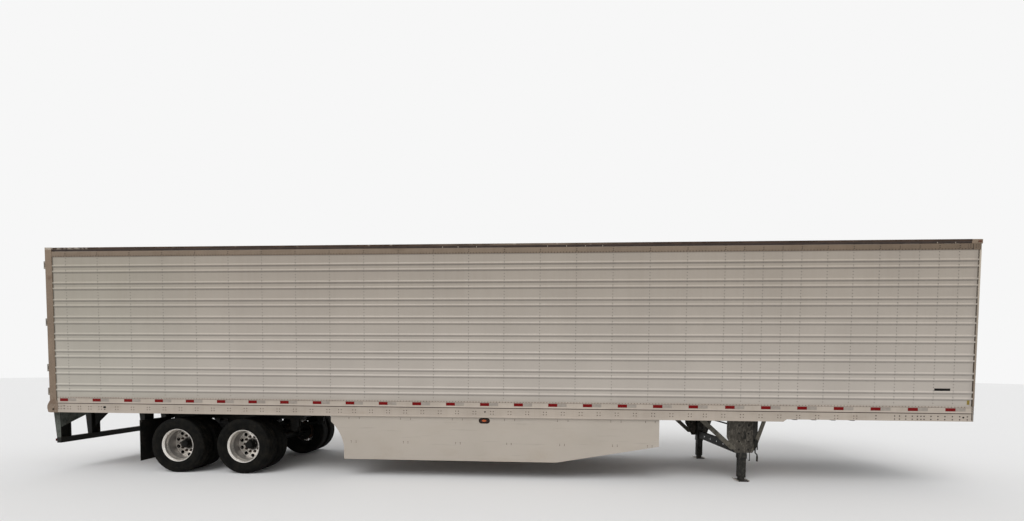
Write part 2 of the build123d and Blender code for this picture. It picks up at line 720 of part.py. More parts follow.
with BuildPart() as leaf_springs:
    for word, side in SIDES:
        for name, x in AXLES:
            ends = (x - SPRING_HALF, x + SPRING_HALF)
            with BuildSketch(Plane.XZ.offset(SPRING_WIDTH / 2 - side * RAIL_Y)) as leaf:
                with BuildLine():
                    low = ThreePointArc(
                        (ends[0], SPRING_END_Z), (x, SPRING_MIDDLE_Z), (ends[1], SPRING_END_Z)
                    )
                    high = ThreePointArc(
                        (ends[0], SPRING_END_Z + SPRING_THICK / 2),
                        (x, SPRING_MIDDLE_Z + SPRING_THICK),
                        (ends[1], SPRING_END_Z + SPRING_THICK / 2),
                    )
                    Line(low @ 0, high @ 0)
                    Line(low @ 1, high @ 1)
                make_face()
            extrude(leaf.sketch, amount=-SPRING_WIDTH)
save(leaf_springs, "leaf_springs")

for name, x in AXLES:
    with BuildPart() as axle:
        rod((x, -766, AXLE_Z), (x, 766, AXLE_Z), AXLE_R)
        for word, side in SIDES:
            rod((x, side * 766, AXLE_Z), (x, side * 790, AXLE_Z), BRAKE_R)
            rod((x, side * 790, AXLE_Z), (x, side * 1100, AXLE_Z), SPINDLE_R)
            middle = side * RAIL_Y
            half = SPRING_WIDTH / 2
            seat = (x - SEAT_LENGTH / 2, x + SEAT_LENGTH / 2)
            block(seat, (middle - half, middle + half), (AXLE_Z, SPRING_MIDDLE_Z))
            y = side * CHAMBER_Y
            z = AXLE_Z + CHAMBER_RISE
            rod((x + CHAMBER_REAR, y, z), (x + CHAMBER_FRONT, y, z), CHAMBER_R)
            half = CHAMBER_BRACKET / 2
            block((x - CHAMBER_SEAT, x + CHAMBER_SEAT), (y - half, y + half), (AXLE_Z, z))
    save(axle, f"axle_{name}")

with BuildPart() as air_tanks:
    for x in TANKS_X:
        rod((x, -TANK_HALF, TANK_Z), (x, TANK_HALF, TANK_Z), TANK_R)
save(air_tanks, "air_tanks")

for name, x in AXLES:
    for word, side in SIDES:
        with BuildPart() as tyres:
            for offset in (-DUAL_OFFSET, DUAL_OFFSET):
                ring = [(r, DUAL_Y + offset + a) for r, a in TYRE_OUTLINE]
                ring += [(r, DUAL_Y + offset - a) for r, a in reversed(TYRE_OUTLINE)]
                turned(ring, x, side)
        save(tyres, f"tyres_{name}_{word}")

        with BuildPart() as wheel:
            outer = [(r, DUAL_Y + DUAL_OFFSET + a) for r, a in RIM_OUTLINE]
            inner = [(r, DUAL_Y - DUAL_OFFSET - a) for r, a in RIM_OUTLINE]
            for section in (outer, inner, HUB_OUTLINE):
                turned(section, x, side)
            hole_plane = Plane(origin=(x, side * (DUAL_Y - DISC_THICK), AXLE_Z), z_dir=(0, side, 0))
            with BuildSketch(hole_plane) as holes:
                with PolarLocations(HAND_HOLE_CIRCLE, HAND_HOLES):
                    Circle(HAND_HOLE_R)
            extrude(holes.sketch, amount=2 * DISC_THICK, mode=Mode.SUBTRACT)
        save(wheel, f"wheels_{name}_{word}")

with BuildPart() as mud_flaps:
    for word, side in SIDES:
        block(
            (FLAP_X, FLAP_X + FLAP_THICK),
            (side * FLAP_OUT, side * (FLAP_OUT - FLAP_WIDTH)),
            (FLAP_LOW, FLAP_HIGH),
        )
save(mud_flaps, "mud_flaps")

with BuildPart() as flap_hangers:
    for word, side in SIDES:
        reach = RAIL_Y + BOGIE_RAIL[2] / 2
        block((FLAP_X, FLAP_X + 40), (side * reach, side * FLAP_OUT), (FLAP_HIGH, FLAP_BAR_HIGH))
        for middle, width in FLAP_UPRIGHTS:
            span = (side * (middle - width / 2), side * (middle + width / 2))
            block((FLAP_X, FLAP_X + FLAP_PLATE), span, (FLAP_BAR_HIGH, CROSSMEMBER_LOW))
            block((FLAP_X - 130, FLAP_X), span, (CROSSMEMBER_LOW - FLAP_PLATE, CROSSMEMBER_LOW))
save(flap_hangers, "flap_hangers")

with BuildPart() as side_lamps:
    for word, side in SIDES:
        with BuildSketch(Plane.XZ.offset(-side * (SKIRT_FACE - SKIRT_THICK))) as lens:
            with Locations((LAMP_X, LAMP_Z)):
                SlotOverall(LAMP_LENGTH, LAMP_HEIGHT)
        extrude(lens.sketch, amount=-side * (LAMP_DEPTH + SKIRT_THICK))
save(side_lamps, "side_lamps")

with BuildPart() as rear_lamps:
    half = TOP_LAMP_WIDTH / 2
    for y in TOP_LAMPS_Y:
        lens_top = TOP_LAMP_Z + TOP_LAMP_HEIGHT
        block((REAR_X - LENS_DEPTH, REAR_X), (y - half, y + half), (TOP_LAMP_Z, lens_top))
    for word, side in SIDES:
        for y in STOP_LAMPS_Y:
            front, back = (REAR_X, side * y, STOP_LAMP_Z), (REAR_X - LENS_DEPTH, side * y, STOP_LAMP_Z)
            rod(front, back, STOP_LAMP_R)
save(rear_lamps, "rear_lamps")

with BuildPart() as door_fixings:
    for word, side in SIDES:
        for z in HINGES_Z:
            for step in (-1, 1):
                base = z + step * (STRAP_HEIGHT / 2 + LUG_SPACE)
                top = base + step * LUG_HEIGHT
                rod((PIN_X, side * PIN_Y, base), (PIN_X, side * PIN_Y, top), KNUCKLE_R)
                lug = (side * (PIN_Y - 6), side * (PIN_Y + KNUCKLE_R))
                block((PIN_X, REAR_X + POST_RECESS), lug, (base, top))
            low = z - STRAP_HEIGHT / 2 - LUG_SPACE
            high = z + STRAP_HEIGHT / 2 + LUG_SPACE
            rod((PIN_X, side * PIN_Y, low), (PIN_X, side * PIN_Y, high), PIN_R)
        for y in RODS_Y:
            for z_low, z_high in ((ROD_LOW - 30, ROD_LOW + 46), (ROD_HIGH - 46, ROD_HIGH + 30)):
                block((REAR_X - KEEPER_BASE, REAR_X), (side * (y - 60), side * (y + 60)), (z_low, z_high))
save(door_fixings, "door_fixings")

for word, side in SIDES:
    with BuildPart() as door:
        block(
            (REAR_X, REAR_X + DOOR_THICK),
            (side * DOOR_MEET, side * (POST_INSIDE - DOOR_GAP)),
            (FLOOR_TOP + DOOR_GAP, HEADER_LOW - DOOR_GAP),
        )
    save(door, f"door_{word}")

    with BuildPart() as door_hinges:
        for z in HINGES_Z:
            half = STRAP_HEIGHT / 2
            strap = (side * STRAP_END_Y, side * (PIN_Y - 6))
            block((REAR_X - STRAP_THICK, REAR_X), strap, (z - half, z + half))
            rod((PIN_X, side * PIN_Y, z - half), (PIN_X, side * PIN_Y, z + half), KNUCKLE_R)
            block((PIN_X, REAR_X), (side * (PIN_Y - 8), side * (PIN_Y - 2)), (z - half, z + half))
            rod(
                (PIN_X, side * PIN_Y, z - half), (PIN_X, side * PIN_Y, z + half),
                PIN_R + PIN_CLEARANCE, Mode.SUBTRACT,
            )
    save(door_hinges, f"door_hinges_{word}")

    with BuildPart() as lock_rods:
        for y in RODS_Y:
            middle = side * y
            x = REAR_X - ROD_STAND_OFF
            rod((x, middle, ROD_LOW), (x, middle, ROD_HIGH), ROD_R)
            wide, high, deep = CAM_SIZE
            cam = (middle - wide / 2, middle + wide / 2)
            for z in (ROD_LOW, ROD_HIGH - high):
                block((x - deep / 2, x + deep / 2 - CAM_SET), cam, (z, z + high))
            wide, high, deep = GUIDE_SIZE
            for z in GUIDES_Z:
                guide = (middle - wide / 2, middle + wide / 2)
                block((REAR_X - deep, REAR_X), guide, (z - high / 2, z + high / 2))
            far = middle - side * HANDLE_LENGTH * (1 if y > 600 else -1)
            grip = HANDLE_HEIGHT / 2
            block((x - HANDLE_DEPTH, x + CAM_SET), (middle, far), (HANDLE_Z - grip, HANDLE_Z + grip))
    save(lock_rods, f"lock_rods_{word}")

with BuildPart() as service_couplings:
    nose = FRONT_X - NOSE_SET_BACK
    face = nose + RIB_RISE + COUPLING_PLATE
    block((nose + RIB_RISE, face), (-260, 260), (SOCKET_Z - 90, SOCKET_Z + 90))
    rod((face, 0, SOCKET_Z), (FRONT_X + REACH, 0, SOCKET_Z), SOCKET_R)
    for y in GLADHANDS_Y:
        rod((face, y, SOCKET_Z), (FRONT_X + REACH - 8, y, SOCKET_Z), GLADHAND_R)
save(service_couplings, "service_couplings")
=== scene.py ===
"""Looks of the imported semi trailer: its finishes, rivets, tape, wheels and small pieces.

Metres. X runs forward, Y to the left, Z up, as in the frame. Radii and heights of beads, rails and
tyres repeat those of the solids, which the frame's boxes don't give.
"""

import math
import random
from functools import cache, partialmethod

import bmesh
import bpy
from bpy.props import FloatProperty, FloatVectorProperty, IntProperty, PointerProperty
from mathutils import Matrix, Vector


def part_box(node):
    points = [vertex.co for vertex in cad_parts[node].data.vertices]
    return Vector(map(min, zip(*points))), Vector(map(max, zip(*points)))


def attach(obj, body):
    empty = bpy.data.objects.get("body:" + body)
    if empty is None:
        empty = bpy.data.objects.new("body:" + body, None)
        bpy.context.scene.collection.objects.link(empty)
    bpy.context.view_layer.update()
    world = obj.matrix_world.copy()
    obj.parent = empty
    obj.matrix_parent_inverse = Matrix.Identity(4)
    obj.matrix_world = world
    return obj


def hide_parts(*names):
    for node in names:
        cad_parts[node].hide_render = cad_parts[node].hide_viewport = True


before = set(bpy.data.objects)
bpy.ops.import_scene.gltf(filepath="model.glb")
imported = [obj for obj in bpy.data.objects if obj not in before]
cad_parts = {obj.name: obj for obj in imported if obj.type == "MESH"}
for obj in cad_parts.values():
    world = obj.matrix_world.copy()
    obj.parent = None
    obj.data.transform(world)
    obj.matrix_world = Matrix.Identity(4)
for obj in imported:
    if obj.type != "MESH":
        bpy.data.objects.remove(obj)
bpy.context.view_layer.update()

bl_info = {
    "name": "Dry van trailer looks",
    "version": (1, 0, 0),
    "blender": (4, 5, 0),
    "location": "View3D > Sidebar > Trailer",
    "description": "Finishes, fasteners, tape and wheels for the packed trailer frame",
    "category": "Object",
}

SIDES = (("right", -1), ("left", 1))
AXLES = (("front", -4.4016), ("rear", -5.6464))

# Walls and rails
WALL_LOW, WALL_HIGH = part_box("side_wall_left")
TOP_RAIL_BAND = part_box("top_rails")[0].z
ROOF_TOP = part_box("top_rails")[1].z
RAIL_LOW, RAIL_TOP = (corner.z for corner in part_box("bottom_rails"))
RAIL_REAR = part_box("bottom_rails")[0].x
HALF_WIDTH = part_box("rear_sill")[1].y
REAR_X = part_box("door_left")[0].x
POST_REAR_X, FRONT_X = (corner.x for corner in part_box("front_frame"))
CAP_REAR_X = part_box("corner_caps")[0].x
SKIN = 1.288
WALL_INSIDE = 1.243
BAND_FACE = 1.2925
GROOVE_X = WALL_HIGH.x - 0.018
GROOVE_DEPTH = 0.012
REAR_JOINT_X = WALL_LOW.x + 0.022
REAR_JOINT_DEPTH = 0.003
RAIL_FRONT_LOW = 1.120
RAIL_STEP = (5.041, 5.096)
BEAD_TOP = 3.756
BEAD_PITCH = 0.3083
BEAD_RISE = 0.006
# What rises less than this is the wall's flat
FLAT_RISE = 0.002
BEADS = [BEAD_TOP - pair * BEAD_PITCH - drop for pair in range(8) for drop in (0, 0.103)]
# Height over a bead's middle, share of its rise, and painted shade with dirt: above 0 darkens below the bead,
# below 0 is a painted highlight along its crest
BEAD_SECTION = (
    (-0.044, 0.0, 0.0), (-0.037, 0.0, 0.7), (-0.028, 0.0, 1.0), (-0.019, 0.25, 1.0), (-0.013, 0.8, 0.6),
    (-0.008, 1.0, 0.0), (0.0, 1.0, -0.6), (0.007, 0.85, -0.7), (0.013, 0.45, -0.7), (0.019, 0.1, -0.3),
    (0.026, 0.0, 0.0),
)
BAY = 0.6165
# Points closer than this are one
WELD = 0.00001


def run_places(runs):
    """Places along X from runs of (first, count, pitch)."""
    return [first + number * pitch for first, count, pitch in runs for number in range(count)]


# Post lines along the wall, as runs
POSTS = run_places(
    ((-7.684, 1, 0), (-7.0735, 19, BAY), (4.3318, 4, BAY / 2), (5.6677, 3, 0.411), (6.7980, 4, BAY / 2)))

# |Y| and Z of the top rail's face, up to the rolled roof edge
TOP_RAIL_SECTION = (
    (1.2880, 3.915), (1.2922, 3.915), (1.2925, 3.9165), (1.2925, 4.0080), (1.2915, 4.0110), (1.2840, 4.0120),
    (1.2830, 4.0280), (1.2870, 4.0300), (1.2900, 4.0345), (1.2905, 4.0440), (1.2915, 4.0470), (1.2945, 4.0500),
    (1.2955, 4.0560), (1.2955, 4.0700), (1.2935, 4.0790), (1.2880, 4.0840), (1.2800, 4.0850), (1.2500, 4.0850),
    (1.2500, 4.0150), (1.2880, 4.0150),
)
NOSE_BAND = ((1.288, 3.915), (1.2925, 3.915), (1.2925, 4.009), (1.288, 4.015))
# |Y| and Z of the bottom rail's face; the first four points follow the rail's lower edge
BOTTOM_RAIL_SECTION = (
    (1.2880, 1.080), (1.2935, 1.080), (1.2955, 1.0825), (1.2955, 1.0960), (1.2930, 1.1010), (1.2922, 1.1060),
    (1.2922, 1.2300), (1.2932, 1.2350), (1.2935, 1.2420), (1.2915, 1.2440), (1.2895, 1.2450), (1.2895, 1.2500),
    (1.2930, 1.2515), (1.2950, 1.2550), (1.2952, 1.2620), (1.2935, 1.2670), (1.2922, 1.2700), (1.2920, 1.3440),
    (1.2905, 1.3445), (1.2905, 1.3475), (1.2920, 1.3480), (1.2920, 1.3600), (1.2925, 1.3630), (1.2925, 1.3665),
    (1.2905, 1.3680), (1.2880, 1.3680),
)
# Faces of that section that lie in a seam
RAIL_SEAM_FACES = (*range(8, 13), 17, 18, 19)
RAIL_FLANGE = ((1.268, 1.080), (1.289, 1.080), (1.289, 1.089), (1.268, 1.089))
RAIL_FACE = 1.2922
CORNER_RADIUS = 0.040
BROW_RADIUS = 0.020
NOSE_INSIDE = 1.2255
BROW_HALF = 1.1755
BEAM_LOW = 3.987
BAND_TOP = 4.015
# Height and depth below the outermost face of a nose post; its foot carries on the bottom rail's ridges
POST_GROOVE = 0.0085
POST_LEVELS = (
    *((max(z, RAIL_FRONT_LOW), HALF_WIDTH - y) for y, z in BOTTOM_RAIL_SECTION[4:17]),
    (1.2830, 0.0035), (1.2845, POST_GROOVE), (1.2890, POST_GROOVE), (1.2905, 0.0010), (1.3180, 0.0010),
    (1.3195, POST_GROOVE), (1.3240, POST_GROOVE), (1.3255, 0.0010), (1.3450, 0.0010), (1.3465, 0.0035),
    *((z, HALF_WIDTH - y) for y, z in BOTTOM_RAIL_SECTION[21:25]),
    (1.3700, 0.0030), (1.3720, 0.0), (3.9120, 0.0), (3.9150, 0.0060), (3.9165, 0.0030), (4.0090, 0.0030),
    (4.0120, 0.0060), (4.0150, 0.0075),
)

# The photograph's camera: focal length and width in pixels, shift, yaw, pitch and roll in degrees, and place
PHOTO_FOCAL, PHOTO_WIDTH = 436.04, 1024
PHOTO_SHIFT = 0.12421
PHOTO_ANGLES = (-3.224, -2.269, 0.398)
PHOTO_PLACE = (0.8965, -8.8349, 1.9088)

# Fasteners and tape: six rivets to a bead's pitch
RIVET_PITCH = BEAD_PITCH / 6
BACKWARD = (-1, 0, 0)
# Rivet groups over crossmembers along the lower rail, as runs
RAIL_GROUPS = (
    (-7.881, 1, 0), (-7.701, 4, 0.2017), (-6.775, 14, 0.3056), (-2.589, 1, 0), (-2.331, 20, 0.3069),
    (3.749, 9, 0.3059),
)
# Columns of two bolts, dark ones near the nose
RAIL_COLUMNS = (
    -7.798, 6.525, 6.821, 6.897, 6.996, 7.099, 7.180, 7.235, 7.284, 7.392, 7.501, 7.609, 7.726, 7.841, 7.959,
)
# Rivet columns in the top rail's end, each side of its seam
RAIL_END_COLUMNS = (7.848, 7.886, 7.972, 8.010)
# Openings in the lower rail: X, Z, half width, half height
RAIL_HOLES = (
    (-7.009, 1.183, 0.028, 0.019), (-7.008, 1.1425, 0.009, 0.009), (0.002, 1.183, 0.013, 0.013),
    (7.898, 1.186, 0.015, 0.014),
)
# X of the skirt's rivets, in pairs, and their heights
SKIRT_ROWS = (
    ((-2.437, -2.249, -1.505, -1.324, -0.578, -0.399, 0.341, 0.521, 1.263, 1.446, 2.179, 2.354, 2.769, 2.931),
     (1.052, 1.032)),
    ((-2.398, -2.309, -1.451, -1.370, -0.518, -0.435, 0.384, 0.463, 1.307, 1.390, 2.214, 2.296, 2.809, 2.887),
     (0.634, 0.611)),
)
# X of clips in the gap below the roof edge
ROOF_CLIPS = (-0.75, -0.48, -0.16, 1.06, 1.38, 1.70, 1.99, 7.37, 7.65)
# Red tape along a side: middle of the first strip, count, pitch
TAPE_RUNS = (
    (-7.795, 1, 0), (-7.160, 1, 0), (-6.550, 6, 0.589), (-3.005, 6, 0.600), (0.585, 6, 0.594),
    (4.160, 7, 0.5885),
)
TAPE_THICK = 0.0008
REAR_STRIP = 0.152
REAR_TAPE = (TAPE_THICK, REAR_STRIP, 0.05)
# Bolts of the doors' hinge straps and of the lock rods' guides, and the rear lamps
HINGE_X, HINGE_BOLT_Y, HINGE_HEIGHTS = -8.085, (1.148, 1.178, 1.205), (3.770, 2.735, 1.900, 1.465)
GUIDE_X, ROD_Y, GUIDE_HEIGHTS = -8.119, (0.870, 0.480), (1.380, 1.760, 2.330, 2.980, 3.640)
LAMP_Y, LAMP_Z = (-0.985, -0.740, 0.740, 0.985), 1.165
# X and Z of the rear guard's outer face, Y and Z of the gusset in front of it
GUARD_FACE = ((-8.0300, 0.604), (-7.9482, 0.604), (-7.9482, 1.0745), (-8.0745, 1.0745), (-8.0300, 0.650))
GUSSET = ((1.2260, 0.802), (0.6900, 1.024), (0.6900, 1.0745), (1.2260, 1.0745))

# Wheels, springs and landing gear
WHEELS = [(f"{name}_{word}", x, side) for name, x in AXLES for word, side in SIDES]
HUB_Z = 0.5
# The tandem's middle behind the origin, and half of its spread
BOGIE_SETBACK, AXLE_HALF = 5.024, 0.6224
# Middle of a dual pair, and half the distance of its tyres
DUAL_Y, DUAL_HALF = 0.984, 0.168
DISC_BEVEL = 0.0015
# Radii of the circles that hand holes, nuts and cap bolts stand on, and |Y| of the last two
HAND_HOLE_RING = 0.2165
NUT_RING, NUT_Y = 0.1425, 1.0062
CAP_BOLT_RING, CAP_BOLT_Y = 0.082, 1.032
# Radius and offset from a tyre's middle, in millimetres; the other half mirrors it
TYRE_SECTION = (
    (284, 99), (290, 103), (298.5, 106), (302, 113), (304, 119), (309, 121.5), (313, 120.5), (322, 126),
    (336, 132.5), (350, 136), (368, 137.6), (386, 138), (388, 136.8), (404, 137.4), (406, 138), (430, 137.6),
    (446, 136), (458, 132), (462, 128.5), (472, 126), (484, 121), (494, 115), (498.5, 109), (500, 103),
    (500, 93), (489, 90.5), (489, 83.5), (500, 81), (500, 47), (488, 44), (488, 36), (500, 33), (500, 12),
)
# Points of that section that the shoulders' notches cut back, and those at the bottom of a groove
NOTCHED = range(18, 23)
TREAD_GROOVES = (25, 26, 29, 30)
# Radius and offset of an outer rim's section from its tyre's middle
RIM_SECTION = (
    (294, 117.2), (297, 118), (298.5, 116), (298.5, 109), (296, 106.5), (287, 103), (284, 98), (284, -98),
    (288, -103), (298.5, -107), (298.5, -116), (296, -118), (278, -118), (274, -136), (270, -152), (266, -162),
    (260, -168), (250, -168), (250, -146.4), (255, -145.5), (257, -142), (257.5, -130), (257.5, -50),
    (259, -38), (262.5, -30), (263, 22), (266, 34), (270.5, 42), (271.5, 50), (272, 84), (274.5, 93), (279, 97),
    (283, 104), (285.5, 112), (289, 116),
)
# Radius and |Y| of the drum, the hub and its cap
HUB_SECTION = (
    (46, 832), (84, 832), (84, 930), (150, 932), (186, 926), (190, 916), (190, 776), (207, 776), (208, 779),
    (208, 792), (203, 795), (203, 806), (208, 809), (208, 820), (203, 823), (203, 834), (208, 837), (208, 848),
    (203, 851), (203, 866), (206, 872), (206, 930), (198, 948), (180, 958), (150, 961.5), (62, 961.5),
    (62, 1006.4), (90, 1006.4), (92, 1010), (92, 1026), (88, 1031), (79, 1034), (72, 1038), (70, 1044),
    (69.5, 1062), (68, 1064), (68, 1092), (70, 1095), (70, 1110), (66, 1120), (60, 1125), (50, 1126.5),
    (48, 1130), (0.5, 1130), (0.5, 1112), (46, 1110),
)
SPRING_HALF = 0.545
SPRING_Y = 0.520
SPRING_INSIDE, SPRING_OUTSIDE = 0.482, 0.558
LEAVES = 4
# Height at the middle, radius of the curve: lowest and highest face of a spring
SPRING_CURVES = ((0.650, 1.6603), (0.706, 2.3525))
# Offset from a spring's middle and height of a U bolt's bends
U_BOLT = ((-0.053, 0.408), (-0.053, 0.715), (-0.045, 0.728), (0.045, 0.728), (0.053, 0.715), (0.053, 0.408))
LEG_X = 4.505
# Bolts of the landing gear's wing plates and braces
WING_BOLTS = [(x, 1.085) for x in (4.262, 4.345, 4.425, 4.585, 4.666)]
BRACE_BOLTS = [(x, z) for x in (4.425, 4.585) for z in (0.56, 0.70, 0.84, 0.98)]
# The hung crank: points of its handle, grip, arm and hook, radius, and whether it curves
CRANK_RODS = (
    (((4.690, -1.095, 0.745), (4.690, -1.095, 0.540), (4.692, -1.095, 0.505), (4.722, -1.098, 0.485),
      (4.724, -1.098, 0.450), (4.724, -1.098, 0.362)), 0.0105, True),
    (((4.724, -1.098, 0.450), (4.724, -1.098, 0.362)), 0.0155, False),
    (((4.690, -1.095, 0.728), (4.718, -1.095, 0.728), (4.726, -1.095, 0.716), (4.726, -1.095, 0.560)),
     0.0095, True),
    (((4.606, -1.082, 0.520), (4.606, -1.082, 0.400), (4.609, -1.084, 0.372), (4.598, -1.084, 0.366),
      (4.592, -1.084, 0.382)), 0.0065, True),
)


class Number:
    """A node socket that Python's operators work on through Math nodes."""

    def __init__(self, finish, socket):
        self.finish, self.socket = finish, socket

    def maths(self, operation, *others, clamp=False):
        """One Math node with this number first."""
        values = dict(enumerate((self, *others)))
        return self.finish.number("ShaderNodeMath", values, operation=operation, use_clamp=clamp)

    __add__ = __radd__ = partialmethod(maths, "ADD")
    __mul__ = __rmul__ = partialmethod(maths, "MULTIPLY")
    __sub__ = partialmethod(maths, "SUBTRACT")
    __truediv__ = partialmethod(maths, "DIVIDE")
    __pow__ = partialmethod(maths, "POWER")
    size = partialmethod(maths, "ABSOLUTE")
    most = partialmethod(maths, "MAXIMUM")

    def __rsub__(self, other):
        return self * -1 + other

    def fade(self, low, high):
        """0 below low, 1 above high and smooth between, or the other way round where high is lower."""
        return self.finish.number("ShaderNodeMapRange", {
            "Value": self, "From Min": min(low, high), "From Max": max(low, high), "To Min": float(high < low),
            "To Max": float(low <= high)}, interpolation_type="SMOOTHSTEP")

    def near(self, middle, reach):
        """1 at a value, falling to 0 at a distance from it."""
        return (self - middle).size().fade(reach, 0)


class Nodes:
    """A node tree under construction."""

    def __init__(self, tree):
        self.tree = tree

    def node(self, kind, inputs=None, **settings):
        """A node with its settings made first and then its sockets' values or links.

        A node given as a value stands for its first output, and a list holds several links.
        """
        node = self.tree.nodes.new(kind)
        for key, value in settings.items():
            setattr(node, key, value)
        for key, value in (inputs or {}).items():
            for source in value if isinstance(value, list) else [value]:
                source = source.socket if isinstance(source, Number) else source
                source = source.outputs[0] if isinstance(source, bpy.types.Node) else source
                if isinstance(source, bpy.types.NodeSocket):
                    self.tree.links.new(source, node.inputs[key])
                else:
                    node.inputs[key].default_value = source
        return node


class Finish(Nodes):
    """A procedural material: one Principled shader and the nodes that feed it."""

    def __init__(self, name, colour=(0.5, 0.5, 0.5), metallic=0.0, roughness=0.5, coat=0.0, ior=1.5):
        self.material = bpy.data.materials.new(name)
        self.material.use_nodes = True
        self.material.diffuse_color = (*colour, 1)
        super().__init__(self.material.node_tree)
        self.tree.nodes.clear()
        self.shader = self.node("ShaderNodeBsdfPrincipled", {
            "Base Color": (*colour, 1), "Metallic": metallic, "Roughness": roughness, "Coat Weight": coat,
            "IOR": ior})
        self.node("ShaderNodeOutputMaterial", {"Surface": self.shader})
        # Object coordinates are the trailer's own metres
        self.point = self.node("ShaderNodeTexCoord").outputs["Object"]

    def number(self, kind, inputs=None, output=0, **settings):
        """One output of a new node as a number."""
        return Number(self, self.node(kind, inputs, **settings).outputs[output])

    def axes(self, letters):
        """The point's place along the axes named, as numbers."""
        split = self.node("ShaderNodeSeparateXYZ", {0: self.point})
        return [Number(self, split.outputs[letter]) for letter in letters]

    def noise(self, scale, detail=4, roughness=0.55, stretch=(1, 1, 1)):
        """Noise about 0.5."""
        place = self.node("ShaderNodeMapping", {"Vector": self.point, "Scale": stretch})
        return self.number("ShaderNodeTexNoise", {
            "Vector": place, "Scale": scale, "Detail": detail, "Roughness": roughness})

    def cells(self, scale, feature="DISTANCE_TO_EDGE"):
        """Distance to the nearest cell's edge, or to its middle."""
        place = self.node("ShaderNodeMapping", {"Vector": self.point})
        return self.number(
            "ShaderNodeTexVoronoi", {"Vector": place, "Scale": scale}, "Distance", feature=feature)

    def attribute(self, name):
        """A number stored on the mesh."""
        return self.number("ShaderNodeAttribute", output="Fac", attribute_name=name)

    def mix(self, factor, first, second):
        """One colour shaded into another."""
        colours = [(*value, 1) if isinstance(value, (tuple, list)) else value for value in (first, second)]
        node = self.node("ShaderNodeMix", {0: factor, 6: colours[0], 7: colours[1]}, data_type="RGBA")
        return node.outputs[2]

    def times(self, colour, other):
        """A colour multiplied by another."""
        return self.node("ShaderNodeVectorMath", {0: colour, 1: other}, operation="MULTIPLY").outputs[0]

    def darken(self, colour, factor):
        """A colour multiplied by a number."""
        return self.times(colour, self.node("ShaderNodeCombineXYZ", {0: factor, 1: factor, 2: factor}))

    def done(self, colour, roughness, *bumps, metallic=None):
        """The material, once what varies is linked.

        A bump is its height, distance and strength. A tuple as its height is a noise's scale and detail.
        """
        normal = None
        for height, distance, strength in bumps:
            height = self.noise(*height) if isinstance(height, tuple) else height
            values = {"Height": height, "Distance": distance, "Strength": strength}
            if normal:
                values["Normal"] = normal
            normal = self.node("ShaderNodeBump", values).outputs[0]
        for name, source in (
                ("Base Color", colour), ("Roughness", roughness), ("Metallic", metallic), ("Normal", normal)):
            if source is not None:
                self.tree.links.new(getattr(source, "socket", source), self.shader.inputs[name])
        return self.material


def tone(*levels):
    """An sRGB colour of 0 to 255 as Blender's linear one."""
    shares = [level / 255 for level in levels]
    return tuple(share / 12.92 if share <= 0.04045 else ((share + 0.055) / 1.055) ** 2.4 for share in shares)


def mottled(name, base, spread, scale=1.4, **shader):
    """A finish whose tone drifts over the surface, and that tone for the layers over it.

    base is an sRGB colour or the name of a colour setting. The drift is kept as the finish's cloud.
    """
    base = tuple(getattr(bpy.context.scene.trailer_finish, base)) if isinstance(base, str) else tone(*base)
    finish = Finish(name, base, **shader)
    finish.cloud = finish.noise(scale, 6)
    dark, light = ([min(1, channel * share) for channel in base] for share in (1 - spread, 1 + spread))
    return finish, finish.mix(finish.cloud.fade(0.3, 0.7), dark, light)


def streaks(finish, scale=9):
    """Runs of washed-down dirt: narrow along X and long in Z."""
    fine = finish.noise(scale * 5, 3, stretch=(1, 1, 0.03))
    return (finish.noise(scale, 5, 0.6, (1, 1, 0.06)) * 0.65 + fine * 0.35).fade(0.44, 0.66)


CLEAN = (1, 1, 1)


def skin_finish():
    """White painted aluminium gone grey: darker and warmer towards the top, road dirt just above the bottom
    rail, runs below the rail, dirt along posts, and painted shade under the beads with a painted highlight
    along their crests.
    """
    finish, paint = mottled("wall_skin", "skin", 0.035, 0.9, roughness=0.42, coat=0.15)
    x, z = finish.axes("XZ")
    # film: streaks, and a darkening and warming towards the top
    high = z.fade(1.5, 4.0)
    film = streaks(finish) * (high * 0.016 + 0.006) + high * 0.18
    # The attribute read here holds painted shade under each bead, a painted highlight along its crest where
    # below 0, and dirt along posts and joints
    edge = finish.attribute("grime") * (finish.noise(30, 3) * 0.4 + 0.6)
    road = z.fade(1.50, 1.37) * finish.noise(5, 5, stretch=(1, 1, 0.5)) * 0.08
    warm = finish.mix((film + road) * 2.2, CLEAN, tone(240, 229, 212))
    rear = finish.mix(x.fade(-4.0, -7.5), CLEAN, (0.955, 0.985, 0.96))
    tinted = finish.times(finish.times(paint, warm), rear)
    return finish.done(
        finish.darken(tinted, 1 - (film + edge * 0.42 + road)), 0.36 + film * 0.9 + finish.cloud * 0.12,
        ((2.3, 2), 0.0015, 0.5), ((160, 2), 0.0001, 0.4))


def rail_finish():
    """Extruded aluminium rails: die lines along X, grey bloom and dust on their lower parts."""
    finish, metal = mottled("rail_extrusion", "rail", 0.06, 2, metallic=0.18, roughness=0.45)
    x, z = finish.axes("XZ")
    lines = finish.noise(260, 3, stretch=(0.004, 1, 1))
    stain = finish.noise(3.5, 6, stretch=(0.5, 1, 3)).fade(0.5, 0.75)
    high = z.fade(3.85, 3.93) * (x.fade(3.5, 8.0) * 0.12 + 0.42)
    film = stain * 0.07 + high + streaks(finish, 12) * 0.03
    tinted = finish.times(metal, finish.mix(film * 2, CLEAN, tone(232, 214, 194)))
    return finish.done(
        finish.darken(tinted, 1.02 - film - (1 - lines) * 0.05), 0.38 + finish.cloud * 0.2 + film * 0.5,
        (lines, 0.0002, 0.5), (finish.noise(1.1, 1, stretch=(1, 1, 0.2)), 0.002, 0.4))


